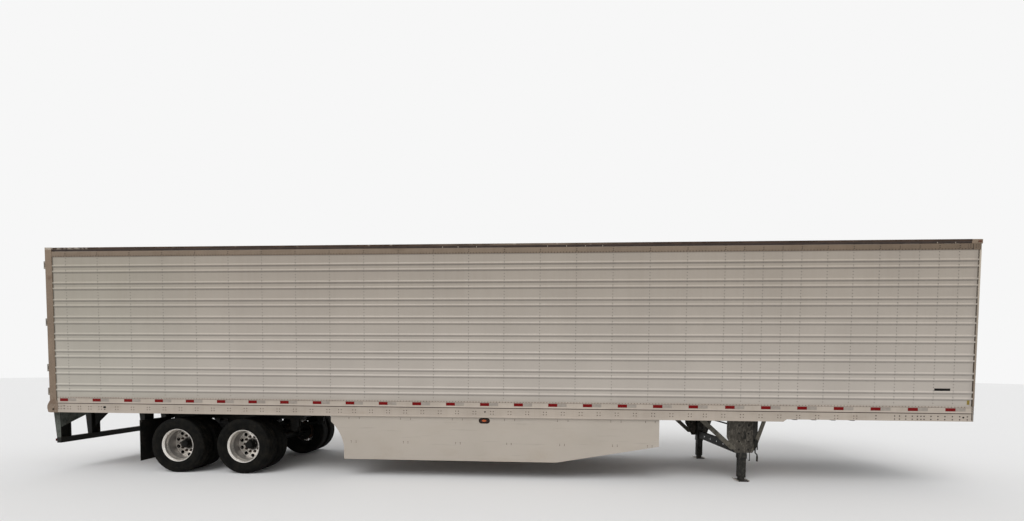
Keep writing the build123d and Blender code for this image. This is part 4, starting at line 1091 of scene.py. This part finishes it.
class TRAILER_OT_walls(bpy.types.Operator):
    """Side walls with pressed beads, quilting between posts and lining inside"""
    bl_idname = "trailer.walls"
    bl_label = "Side walls"

    def execute(self, context):
        for word, side in SIDES:
            place(f"beaded_wall_{word}", side_wall(side), "white_skin liner sealer", slot="white_skin",
                  replaced=f"side_wall_{word}", sharp=40)
        return {"FINISHED"}


def top_rail_slot(row, index):
    """The finish of a top rail's face: rail, rolled roof edge or the dark gap under it."""
    return 1 if 11 <= index <= 17 else 2 if 4 <= index <= 10 else 0


def nose_post(work, side):
    """A nose post with its round outer edge, its foot ridged like the rail that meets it."""
    rings = []
    for z, depth in POST_LEVELS:
        ring = [(POST_REAR_X, side * NOSE_INSIDE, z), (POST_REAR_X, side * (HALF_WIDTH - depth), z)]
        reach = CORNER_RADIUS - depth
        for step in range(9):
            turn = math.pi / 2 * (1 - step / 8)
            ring.append((FRONT_X - CORNER_RADIUS + reach * math.cos(turn),
                         side * (HALF_WIDTH - CORNER_RADIUS + reach * math.sin(turn)), z))
        rings.append(ring + [(FRONT_X - depth, side * NOSE_INSIDE, z)])

    def slot_of(row, index):
        (low, depth), (high, above) = POST_LEVELS[row:row + 2]
        z = (low + high) / 2
        if depth == POST_GROOVE == above or 1.242 < z < 1.252 or 1.3685 < z < 1.3722 or 3.912 < z < 3.9155:
            return 2
        return 1 if z < 1.3700 or z > 3.915 else 0

    rings_over(work, rings, ends=True, slot=slot_of)


def nose_frame():
    """The nose's posts, its top beam with a rounded brow, and its foot beam ridged like the rails."""
    work = bmesh.new()
    for side in (-1, 1):
        nose_post(work, side)
    foot = [(FRONT_X - depth, z) for z, depth in POST_LEVELS if z < 1.3685]
    foot += [(POST_REAR_X, 1.3680), (POST_REAR_X, RAIL_FRONT_LOW)]
    brow = [(POST_REAR_X, BAND_TOP), (FRONT_X, BAND_TOP)]
    for step in range(7):
        back, down = (BROW_RADIUS * (1 - part(math.pi / 2 * step / 6)) for part in (math.cos, math.sin))
        brow.append((FRONT_X - back, ROOF_TOP - down))
    beam(work, foot, -NOSE_INSIDE, NOSE_INSIDE, 1)
    beam(work, [*brow, (POST_REAR_X, ROOF_TOP)], -BROW_HALF, BROW_HALF)
    slab(work, (POST_REAR_X, -NOSE_INSIDE, BEAM_LOW), (FRONT_X, NOSE_INSIDE, BAND_TOP))
    return work


class TRAILER_OT_rails(bpy.types.Operator):
    """Top and bottom rails as extrusions with their seams and ridges"""
    bl_idname = "trailer.rails"
    bl_label = "Rails"

    def execute(self, context):
        top, low = bmesh.new(), bmesh.new()
        stations = [WALL_LOW.x + (CAP_REAR_X - WALL_LOW.x) * step / 60 for step in range(61)]
        for side in (-1, 1):
            bar(top, side, TOP_RAIL_SECTION, stations, top_rail_slot)
            bar(top, side, NOSE_BAND, (CAP_REAR_X, POST_REAR_X - 0.0015))
            rings = []
            for x, lift in ((RAIL_REAR, 0), (RAIL_STEP[0], 0), (RAIL_STEP[1], RAIL_FRONT_LOW - RAIL_LOW),
                            (WALL_HIGH.x, RAIL_FRONT_LOW - RAIL_LOW)):
                rings.append([(x, side * y, z + (lift if z < 1.15 else 0)) for y, z in BOTTOM_RAIL_SECTION])
            rings_over(low, rings, ends=True, slot=lambda row, index: int(index in RAIL_SEAM_FACES))
            bar(low, side, RAIL_FLANGE, (RAIL_REAR, RAIL_STEP[0]))
        place("roof_rails", top, "rail_aluminium roof_edge sealer", slot="rail_aluminium", replaced="top_rails")
        place("floor_rails", low, "rail_aluminium sealer", slot="rail_aluminium", replaced="bottom_rails")
        place("nose_frame", nose_frame(), "front_post rail_aluminium sealer", replaced="front_frame", sharp=30,
              weld=0)
        return {"FINISHED"}


def opening(work, side, x, z, across, up, face=RAIL_FACE, rise=0.0012):
    """A round or oval opening: a low rim about a dark middle."""
    rim = ((0.0, 0.0), (0.84, 0.0), (0.9, rise), (1.0, rise * 0.8), (1.06, -0.0003))
    turned(work, 28, lambda cosine, sine: [
        (x + across * share * cosine, side * (face + 0.0001 + lift), z + up * share * sine)
        for share, lift in rim], around=False)


class TRAILER_OT_fasteners(bpy.types.Operator):
    """Rivets of walls, rails, skirts, roof and nose, and the lower rails' openings"""
    bl_idname = "trailer.fasteners"
    bl_label = "Fasteners"

    def execute(self, context):
        count = int((WALL_HIGH.x - WALL_LOW.x - 0.06) / RIVET_PITCH)
        row = [WALL_LOW.x + 0.03 + number * RIVET_PITCH for number in range(count)]
        posts = [(x, BEAD_TOP + 0.1285 - number * RIVET_PITCH) for x in POSTS for number in range(49)]
        low = [(x, 1.3565) for x in row] + [(x, z) for x in RAIL_END_COLUMNS for z in (3.950, 3.971, 3.992)]
        high = [(x, 3.9262) for x in row] + [(x, z) for x in POSTS for z in (3.947, 3.979)]
        skirt_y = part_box("skirt_left")[1].y
        skirt = [(x, z) for places, heights in SKIRT_ROWS for x in places for z in heights]
        # Name, distance from the middle, (X, Z) places, radius and height where not the settings', finish
        groups = (
            ("post_rivets", SKIN + 0.0004, posts, None, None, "rivet"),
            ("low_band_rivets", BAND_FACE - 0.0006, low, 0.0070, None, "fastener"),
            ("high_band_rivets", BAND_FACE - 0.0006, high, 0.0098, None, "dark_fastener"),
            ("rail_fasteners", RAIL_FACE,
             [(x + across, z) for x in run_places(RAIL_GROUPS) for across in (-0.024, 0.024)
              for z in (1.145, 1.190)], 0.0095, 0.003, "fastener"),
            ("rail_columns", RAIL_FACE, [(x, z) for x in RAIL_COLUMNS for z in (1.148, 1.199)],
             0.0125, 0.003, "dark_fastener"),
        )
        for word, side in SIDES:
            for name, y, spots, radius, height, wear in groups:
                rivets(f"{name}_{word}", [(x, side * y, z) for x, z in spots], radius, height, wear)
            holes = bmesh.new()
            for hole in RAIL_HOLES:
                opening(holes, side, *hole)
            opening(holes, side, -8.010, 1.136, 0.020, 0.016, HALF_WIDTH - 0.0001, rise=0.0)
            place(f"rail_openings_{word}", holes, "void", weld=0.000001)
            spots = [(x, side * skirt_y, z) for x, z in skirt]
            rivets(f"skirt_rivets_{word}", spots, 0.0075, 0.003, "fastener")
        top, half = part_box("roof")[1].z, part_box("roof")[1].y - 0.02
        count = int((WALL_HIGH.x - WALL_LOW.x) / 0.1)
        rivets("roof_rivets", [(WALL_LOW.x + 0.05 + number * 0.1, y, top)
                               for number in range(count) for y in (half, -half)], facing=(0, 0, 1))
        low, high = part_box("front_wall")
        rivets("nose_rivets", [(high.x, column * 0.4 + edge, low.z + 0.06 + number * 0.079)
                               for column in range(-2, 3) for edge in (-0.024, 0.024) for number in range(34)],
               facing=(1, 0, 0))
        return {"FINISHED"}


class TRAILER_OT_tape(bpy.types.Operator):
    """Red and white reflective tape along the sides, the doors and the rear guard"""
    bl_idname = "trailer.tape"
    bl_label = "Reflective tape"

    def execute(self, context):
        tape = context.scene.trailer_tape
        post, header, guard = (
            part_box(name)[0].x - off for name, off in (("rear_posts", 0), ("rear_header", 0.0005),
                                                      ("rear_guard", 0.0005)))
        for word, side in SIDES:
            for number, (first, count, pitch) in enumerate(TAPE_RUNS):
                tape_run(f"{{}}_tape_{word}_{number}", (first, side * (BAND_FACE + 0.0001), tape.middle),
                         (tape.length, 0, 0), (pitch, 0, 0), (count, count),
                         (tape.length, TAPE_THICK, tape.height))
            tape_run(f"door_{{}}_tape_{word}", (REAR_X - 0.0005, side * 0.16, 1.318), (0, side * REAR_STRIP, 0),
                     (0, side * REAR_STRIP * 2, 0), (4, 3), REAR_TAPE, f"door_{word}")
            place(f"corner_tape_{word}", slabs(
                ((post, 1.232, 3.76), (post - TAPE_THICK, 1.282, 4.075)),
                ((header, 0.925, 4.025), (header - TAPE_THICK, 1.215, 4.075)), side=side), "tape_clean")
        tape_run("guard_{}_tape", (guard, -1.14, 0.553), (0, REAR_STRIP, 0), (0, REAR_STRIP * 2, 0), (8, 7),
                 REAR_TAPE)
        return {"FINISHED"}


class TRAILER_OT_tyres(bpy.types.Operator):
    """Ribbed highway tyres with notched shoulders"""
    bl_idname = "trailer.tyres"
    bl_label = "Tyres"

    def execute(self, context):
        settings = context.scene.trailer_wheels
        whole = [*TYRE_SECTION, *((radius, -across) for radius, across in reversed(TYRE_SECTION))]
        # Each point's place in its half of the section
        places = [min(index, len(whole) - 1 - index) for index in range(len(whole))]
        for wheel, x, side in WHEELS:
            work = bmesh.new()
            worn = work.verts.layers.float.new("worn")
            for middle in (DUAL_Y - DUAL_HALF, DUAL_Y + DUAL_HALF):
                rings = []
                for step, (cosine, sine) in enumerate(turns(settings.tyre_steps)):
                    ring = []
                    for spot, (radius, across) in zip(places, whole):
                        length = radius / 1000 - (settings.notch if spot in NOTCHED and step % 3 == 0 else 0)
                        y = side * (middle + across / 1000)
                        ring.append((x + length * cosine, y, HUB_Z + length * sine))
                    rings.append(ring)
                for row in rings_over(work, rings):
                    for vertex, spot, (radius, across) in zip(row, places, whole):
                        vertex[worn] = 0.0 if spot in TREAD_GROOVES else 0.9 if radius > 494 else 0.55
            place(f"tread_{wheel}", work, "tyre", f"dual_{wheel}", "tyre", f"tyres_{wheel}", sharp=28)
        return {"FINISHED"}


class TRAILER_OT_wheels(bpy.types.Operator):
    """Polished rims with hand holes, finned drums, hubs, nuts and hub caps"""
    bl_idname = "trailer.wheels"
    bl_label = "Wheels"

    def execute(self, context):
        count = context.scene.trailer_wheels.nuts
        for wheel, x, side in WHEELS:
            body = f"dual_{wheel}"
            rims = bmesh.new()
            for offset in (-DUAL_HALF, DUAL_HALF):
                # The inner wheel's section is turned about, so that both discs meet
                mirrored = math.copysign(1, offset)
                lathed(rims, [(radius / 1000, DUAL_Y + offset + mirrored * across / 1000)
                              for radius, across in RIM_SECTION], x, side, 96)
            for face in rims.faces:
                face.material_index = int(abs(face.calc_center_median().y) < 0.955)
            discs = []
            for start, size in ((0.962, 0.0365), (0.984, 0.0345)):
                holes = [(HAND_HOLE_RING * cosine, HAND_HOLE_RING * sine, size)
                         for cosine, sine in turns(count, 0.5)]
                disc = disc_mesh(x, side * (start + 0.0001), 0.07, 0.2590, side * 0.0218, holes)
                # The walls of the hand holes take the dark rubber finish, painted shade inside the holes
                for face in disc.polygons:
                    depth = Vector((face.center.x - x, face.center.z - HUB_Z)).length
                    face.material_index = int(abs(face.normal.y) < 0.7 and 0.1 < depth < 0.2575)
                discs.append(disc)
            place(f"rims_{wheel}", gathered(rims, discs), "wheel_alloy rubber", body, "wheel_alloy",
                  f"wheels_{wheel}")
            hub = bmesh.new()
            lathed(hub, [(radius / 1000, across / 1000) for radius, across in HUB_SECTION], x, side, 64)
            for face in hub.faces:
                face.material_index = int(abs(face.calc_center_median().y) >= 0.97)
            place(f"hub_{wheel}", hub, "cast_iron rubber", body, sharp=30)
            nuts, caps = (
                [(x + radius * cosine, side * y, HUB_Z + radius * sine) for cosine, sine in turns(*steps)]
                for radius, y, steps in ((NUT_RING, NUT_Y, (count,)), (CAP_BOLT_RING, CAP_BOLT_Y, (6, 0.25))))
            bolts(f"nuts_{wheel}", nuts, 0.0205, 0.023, "nut", body, washer=0.0265, stud=0.014)
            bolts(f"cap_bolts_{wheel}", caps, 0.0065, 0.005, body=body)
        return {"FINISHED"}


class TRAILER_OT_doors(bpy.types.Operator):
    """Door edge frames and seals, hinge and rod bolts, lamp grommets and the blank plate"""
    bl_idname = "trailer.doors"
    bl_label = "Doors and rear"

    def execute(self, context):
        for word, side in SIDES:
            body = f"door_{word}"
            low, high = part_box(body)
            inner, outer = sorted((abs(low.y), abs(high.y)))
            for part, wear, inset, wide, rise, bevel in (
                    ("frame", "rail_aluminium", 0.016, 0.034, 0.0018, 0.0007),
                    ("seal", "rubber", 0.001, 0.013, 0.0045, 0.0016)):
                near, far, base, top = inner + inset, outer - inset, low.z + inset, high.z - inset
                bars = ((near, base, near + wide, top), (far - wide, base, far, top),
                        (near + wide, base, far - wide, base + wide),
                        (near + wide, top - wide, far - wide, top))
                place(f"door_{part}_{word}", slabs(*[
                    ((low.x - rise, y, z), (low.x + 0.002, y_far, z_far), bevel)
                    for y, z, y_far, z_far in bars], side=side), wear, body, weld=0)
            spots = [(HINGE_X, side * y, z + up) for z in HINGE_HEIGHTS for y in HINGE_BOLT_Y
                     for up in (-0.018, 0.018)]
            spots += [(GUIDE_X, side * (y + across), z) for y in ROD_Y for z in GUIDE_HEIGHTS
                      for across in (-0.026, 0.026)]
            bolts(f"door_bolts_{word}", spots, 0.007, 0.0045, body=body, facing=BACKWARD)
            spots = [(low.x - 0.0016, side * y, low.z + 0.05 + number * 0.0765)
                     for number in range(34) for y in (inner + 0.033, outer - 0.033)]
            rivets(f"door_rivets_{word}", spots, 0.0045, body=body, facing=BACKWARD)
        # Rubber rings around the stop and turn lamps
        grommets = bmesh.new()
        ring = ((0.0495, 0), (0.0495, -0.0105), (0.054, -0.013), (0.060, -0.010), (0.062, 0))
        for y in LAMP_Y:
            turned(grommets, 48, lambda cosine, sine: [
                (REAR_X + x, y + radius * cosine, LAMP_Z + radius * sine) for radius, x in ring])
        place("lamp_grommets", grommets, "rubber")
        # A blank number plate in its holder, between the left door's rods
        holder = ((REAR_X - 0.004, 0.520, 1.588), (REAR_X + 0.001, 0.830, 1.734), 0.001)
        blank = ((REAR_X - 0.0055, 0.525, 1.593), (REAR_X - 0.003, 0.825, 1.729), 0.0008)
        place("plate_holder", slabs(holder), "undergear", "door_left")
        place("blank_plate", slabs(blank), "door", "door_left")
        return {"FINISHED"}


class TRAILER_OT_side_details(bpy.types.Operator):
    """Side lamp mounts, blank labels, guard plates, landing gear pieces and clips under the roof edge"""
    bl_idname = "trailer.side_details"
    bl_label = "Side details"

    def execute(self, context):
        for word, side in SIDES:
            self.lamp_mount(word, side)
            plate = ((7.428, 1.2884, 1.621), (7.676, 1.2902, 1.661), 0.0006)
            place(f"blank_label_{word}", slabs(plate, side=side), "void")
            place(f"nose_joint_{word}", slabs(
                ((8.0225, 1.2885, 1.1205), (8.0300, 1.2953, 1.3675)),
                ((8.0480, 1.2885, 1.1205), (8.0505, 1.2953, 1.3675)),
                ((7.9240, 1.2920, 3.9165), (7.9310, 1.2930, 4.0080)), side=side), "void", weld=0)
            place(f"yellow_label_{word}", slabs(((7.944, 1.2880, 1.397), (7.985, 1.2886, 1.472)), side=side),
                  "sticker")
            # Bare zinc on the guard's outer struts: their outer faces and the gussets in front of them
            zinc = bmesh.new()
            beam(zinc, GUARD_FACE, side * 1.2318, side * 1.2326)
            bar(zinc, side, GUSSET, (-7.9378, -7.9340))
            place(f"guard_zinc_{word}", zinc, "zinc_plate")
        self.landing_gear()
        clips = bmesh.new()
        for side in (-1, 1):
            for x in ROOF_CLIPS:
                slab(clips, (x, 1.2850, 4.018), (x + 0.006, 1.2925, 4.040), side=side)
        place("roof_clips", clips, "front_post", weld=0)
        return {"FINISHED"}

    def lamp_mount(self, word, side):
        """A rubber mount around the side lamp, lipped over the skirt."""
        low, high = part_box("side_lamps")
        middle_x, middle_z = (low.x + high.x) / 2, (low.z + high.z) / 2
        straight = 0.049
        section = ((0.030, 1.262), (0.033, 1.268), (0.040, 1.2695), (0.047, 1.269), (0.0495, 1.2662),
                   (0.0455, 1.2600), (0.030, 1.2590))
        work = bmesh.new()
        turned(work, 48, lambda cosine, sine: [
            (middle_x + (straight if cosine > 0 else -straight) + radius * cosine, side * y,
             middle_z + radius * sine) for radius, y in section])
        place(f"lamp_bezel_{word}", work, "lamp_mount")

    def landing_gear(self):
        """Bolts of wing plates and braces, collars where the legs slide out, and the hung crank handle."""
        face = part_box("leg_mounts")[1].y
        spots = [(x, side * face, z) for side in (-1, 1) for x, z in WING_BOLTS + BRACE_BOLTS]
        bolts("landing_gear_bolts", spots, 0.012, 0.009, "leg_steel")
        collars = bmesh.new()
        for side in (-1, 1):
            for half, low, high in ((0.0665, 0.400, 0.492), (0.0620, 0.388, 0.401)):
                slab(collars, (LEG_X - half, 1 - half, low), (LEG_X + half, 1 + half, high), 0.004, side)
            slab(collars, (4.488, 1.054, 0.262), (4.518, 1.060, 0.345), 0.002, side)
        place("leg_collars", collars, "leg_steel", weld=0)
        rods = [tube(points, radius, smooth) for points, radius, smooth in CRANK_RODS]
        place("crank_handle", gathered(bmesh.new(), rods), "undergear")


class TRAILER_OT_undergear(bpy.types.Operator):
    """Spring leaves with their clips and U bolts, brake chamber bands and cams, and mud flap bolts"""
    bl_idname = "trailer.undergear"
    bl_label = "Springs and brakes"

    def execute(self, context):
        leaves, iron = bmesh.new(), bmesh.new()
        rods = []
        for _, x, side in WHEELS:
            self.spring(leaves, x, side)
            rods += self.clamps(iron, x, side) + self.brake(iron, x, side)
        place("spring_leaves", leaves, "undergear", replaced="leaf_springs", weld=0)
        place("spring_clips", iron, "undergear", weld=0)
        place("u_bolts", gathered(bmesh.new(), rods), "undergear")
        # A strip and its bolts hold each mud flap
        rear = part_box("mud_flaps")[0].x
        strip = ((rear - 0.004, 0.690, 0.872), (rear, 1.270, 0.903), 0.001)
        holders = bmesh.new()
        for side in (-1, 1):
            slab(holders, *strip, side)
        place("flap_strips", holders, "undergear", weld=0)
        spots = [(rear - 0.004, side * (0.730 + number * 0.125), 0.888)
                 for side in (-1, 1) for number in range(5)]
        bolts("flap_bolts", spots, 0.009, 0.007, "fastener", facing=BACKWARD)
        return {"FINISHED"}

    def heights(self, along):
        """Lowest and highest Z of a spring at a distance from its middle."""
        return [z + bend - math.sqrt(bend ** 2 - along ** 2) for z, bend in SPRING_CURVES]

    def spring(self, work, x, side):
        """Leaves that lie along the spring's curve with narrow gaps between them."""
        for leaf in range(LEAVES):
            rings = []
            for step in range(25):
                along = SPRING_HALF * (step / 12 - 1)
                low, high = self.heights(along)
                base = low + (high - low) * leaf / LEAVES
                top = low + (high - low) * (leaf + (0.88 if leaf < LEAVES - 1 else 1)) / LEAVES
                spots = ((SPRING_INSIDE, base), (SPRING_OUTSIDE, base), (SPRING_OUTSIDE, top),
                         (SPRING_INSIDE, top))
                rings.append([(x + along, side * y, z) for y, z in spots])
            rings_over(work, rings, ends=True)

    def clamps(self, work, x, side):
        """Rebound clips, the plates over spring and axle, and the U bolts that hold them."""
        for along in (-0.30, 0.30):
            low, high = self.heights(along)
            slab(work, (x + along - 0.014, 0.477, low - 0.004), (x + along + 0.014, 0.563, high + 0.005), 0.002,
                 side)
        slab(work, (x - 0.10, 0.470, 0.7062), (x + 0.10, 0.570, 0.719), 0.002, side)
        slab(work, (x - 0.11, 0.455, 0.420), (x + 0.11, 0.585, 0.436), 0.002, side)
        return [tube([(x + along, side * (SPRING_Y + across), z) for across, z in U_BOLT], 0.0095)
                for along in (-0.080, 0.080)]

    def brake(self, work, x, side):
        """Bands of a brake chamber, its slack adjuster, push rod and cam shaft."""
        for start, end in ((-0.062, -0.046), (-0.020, -0.004)):
            band = ((start, 0.0815), (start, 0.088), (end, 0.088), (end, 0.0815))
            turned(work, 28, lambda cosine, sine: [
                (x + along, side * (0.330 + radius * cosine), 0.620 + radius * sine) for along, radius in band])
        slab(work, (x + 0.092, 0.385, 0.500), (x + 0.132, 0.412, 0.645), 0.006, side)
        return [tube([(x + 0.06, side * 0.345, 0.620), (x + 0.112, side * 0.390, 0.628)], 0.009),
                tube([(x + 0.112, side * y, 0.520) for y in (0.370, 0.7655)], 0.019, rounding=3)]


class TRAILER_OT_stage(bpy.types.Operator):
    """Pale floor, soft light and the photograph's camera"""
    bl_idname = "trailer.stage"
    bl_label = "Stage"

    def execute(self, context):
        settings = context.scene.trailer_stage
        self.floor(settings)
        self.world(settings)
        self.key_light(settings)
        self.camera()
        context.scene.view_settings.view_transform = "Standard"
        return {"FINISHED"}

    def floor(self, settings):
        """A wide floor at the ground, matt and pale with a fine grain."""
        work = bmesh.new()
        bmesh.ops.create_grid(work, x_segments=8, y_segments=8, size=90)
        mesh = bpy.data.meshes.new("floor_sheet")
        work.to_mesh(mesh)
        work.free()
        floor = bpy.data.objects.new("studio_floor", mesh)
        bpy.context.scene.collection.objects.link(floor)
        finish = Finish("studio_floor", roughness=0.9)
        low = [channel * 0.985 for channel in settings.floor]
        mesh.materials.append(finish.done(finish.mix(finish.noise(0.4), low, tuple(settings.floor)), None))

    def world(self, settings):
        """Light from all round, and a pale backdrop that only camera rays, mirrors and glass see."""
        world = bpy.data.worlds.new("studio")
        world.use_nodes = True
        bpy.context.scene.world = world
        world.node_tree.nodes.clear()
        tree = Nodes(world.node_tree)
        ray = tree.node("ShaderNodeLightPath").outputs
        seen = tree.node("ShaderNodeMath", {0: ray["Is Camera Ray"], 1: ray["Is Glossy Ray"]}, operation="ADD")
        seen = tree.node(
            "ShaderNodeMath", {0: seen, 1: ray["Is Transmission Ray"]}, operation="ADD", use_clamp=True)
        light, backdrop = (
            tree.node("ShaderNodeBackground", {"Color": (grey, grey, grey, 1), "Strength": strength})
            for grey, strength in ((1.0, settings.sky_strength), (0.93, 1.0)))
        shown = tree.node("ShaderNodeMixShader", {0: seen, 1: light, 2: backdrop})
        tree.node("ShaderNodeOutputWorld", {"Surface": shown})

    def key_light(self, settings):
        """A soft key from high on the photographed side."""
        key = bpy.data.lights.new("key", "SUN")
        key.energy = settings.key_strength
        key.angle = math.radians(40)
        lamp = bpy.data.objects.new("key", key)
        lamp.rotation_euler = Vector((0.25, 0.8, -1.0)).to_track_quat("-Z", "Y").to_euler()
        bpy.context.scene.collection.objects.link(lamp)

    def camera(self):
        """The camera that the photograph was taken with, solved from the trailer in it."""
        camera = bpy.data.cameras.new("photo")
        camera.sensor_width = 36
        camera.lens = PHOTO_FOCAL * camera.sensor_width / PHOTO_WIDTH
        camera.shift_y = PHOTO_SHIFT
        camera.clip_end = 500
        yaw, pitch, roll = (math.radians(angle) for angle in PHOTO_ANGLES)
        forward = Vector((math.sin(yaw) * math.cos(pitch), math.cos(yaw) * math.cos(pitch), math.sin(pitch)))
        right = Vector((math.cos(yaw), -math.sin(yaw), 0))
        up = right.cross(forward)
        columns = (right * math.cos(roll) + up * math.sin(roll), up * math.cos(roll) - right * math.sin(roll),
                   -forward, Vector(PHOTO_PLACE))
        viewer = bpy.data.objects.new("photo", camera)
        viewer.matrix_world = Matrix([(*column, row == 3) for row, column in enumerate(columns)]).transposed()
        bpy.context.scene.collection.objects.link(viewer)
        bpy.context.scene.camera = viewer


class TRAILER_OT_frame_finishes(bpy.types.Operator):
    """Finishes of the solids that show as they are"""
    bl_idname = "trailer.frame_finishes"
    bl_label = "Finishes of the solids"

    def execute(self, context):
        for name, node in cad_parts.items():
            wanted = [wear for start, wear in NODE_FINISHES if name.startswith(start)]
            for slot in node.material_slots:
                slot.material = finish_for([slot.material.name.split(".")[0], *wanted][-1])
        return {"FINISHED"}


def colour_property(name, description, default):
    return FloatVectorProperty(name=name, description=description, default=default, size=3, min=0, max=1,
                               subtype="COLOR")


def length_property(name, description, default, **more):
    return FloatProperty(name=name, description=description, default=default, unit="LENGTH", **more)


class TrailerFinish(bpy.types.PropertyGroup):
    """Base colours of the painted and metal finishes"""
    skin: colour_property("Wall", "Aged white paint of the side walls", tone(171, 163, 154))
    rail: colour_property("Rails", "Extruded aluminium of the rails", tone(172, 161, 149))
    post: colour_property("Rear frame", "Galvanised steel of the rear frame", tone(122, 105, 88))
    skirt: colour_property("Skirts", "Composite panels of the skirts", tone(173, 164, 153))
    door: colour_property("Doors", "White faces of the rear doors", tone(184, 178, 170))


class TrailerFasteners(bpy.types.PropertyGroup):
    """Sizes of rivets"""
    rivet_radius: length_property("Rivet radius", "Radius of a rivet's head", 0.0080, min=0.001)
    rivet_height: length_property("Rivet height", "Height of a rivet's head", 0.0032, min=0.0005)


class TrailerTape(bpy.types.PropertyGroup):
    """Reflective tape along the sides"""
    length: length_property("Length", "Length of a strip", 0.158, min=0.01)
    height: length_property("Height", "Height of a strip", 0.053, min=0.01)
    middle: length_property("Middle", "Height of the tape's middle above the ground", 1.3115)


class TrailerWheels(bpy.types.PropertyGroup):
    """Wheels and tyres"""
    tyre_steps: IntProperty(name="Steps", description="Steps around a tyre", default=120, min=24)
    notch: length_property("Notch", "Depth of the notches in a tyre's shoulders", 0.005, min=0)
    nuts: IntProperty(name="Nuts", description="Nuts and hand holes of a wheel", default=10, min=3)


class TrailerStage(bpy.types.PropertyGroup):
    """Light and floor"""
    floor: colour_property("Floor", "Colour of the studio floor", (0.80, 0.80, 0.80))
    sky_strength: FloatProperty(
        name="Sky", description="Strength of the light from all round", default=0.75, min=0)
    key_strength: FloatProperty(name="Key", description="Strength of the soft sun", default=1.1, min=0)


PIECES = (
    TRAILER_OT_stage, TRAILER_OT_frame_finishes, TRAILER_OT_walls, TRAILER_OT_rails, TRAILER_OT_fasteners,
    TRAILER_OT_tape, TRAILER_OT_tyres, TRAILER_OT_wheels, TRAILER_OT_doors, TRAILER_OT_side_details,
    TRAILER_OT_undergear,
)
GROUPS = (
    ("trailer_finish", TrailerFinish), ("trailer_fasteners", TrailerFasteners), ("trailer_tape", TrailerTape),
    ("trailer_wheels", TrailerWheels), ("trailer_stage", TrailerStage),
)


class TRAILER_PT_looks(bpy.types.Panel):
    """Every step of the trailer's looks, in order"""
    bl_idname = "TRAILER_PT_looks"
    bl_label = "Trailer looks"
    bl_space_type = "VIEW_3D"
    bl_region_type = "UI"
    bl_category = "Trailer"

    def draw(self, context):
        for name, group in GROUPS:
            box = self.layout.box()
            for key in group.__annotations__:
                box.prop(getattr(context.scene, name), key)
        for piece in PIECES:
            self.layout.operator(piece.bl_idname)


def register():
    for name, group in GROUPS:
        bpy.utils.register_class(group)
        setattr(bpy.types.Scene, name, PointerProperty(type=group))
    for piece in (*PIECES, TRAILER_PT_looks):
        bpy.utils.register_class(piece)


def unregister():
    for piece in reversed((*PIECES, TRAILER_PT_looks)):
        bpy.utils.unregister_class(piece)
    for name, group in reversed(GROUPS):
        delattr(bpy.types.Scene, name)
        bpy.utils.unregister_class(group)


def main():
    register()
    for piece in PIECES:
        family, step = piece.bl_idname.split(".")
        getattr(getattr(bpy.ops, family), step)()


if __name__ == "__main__":
    main()
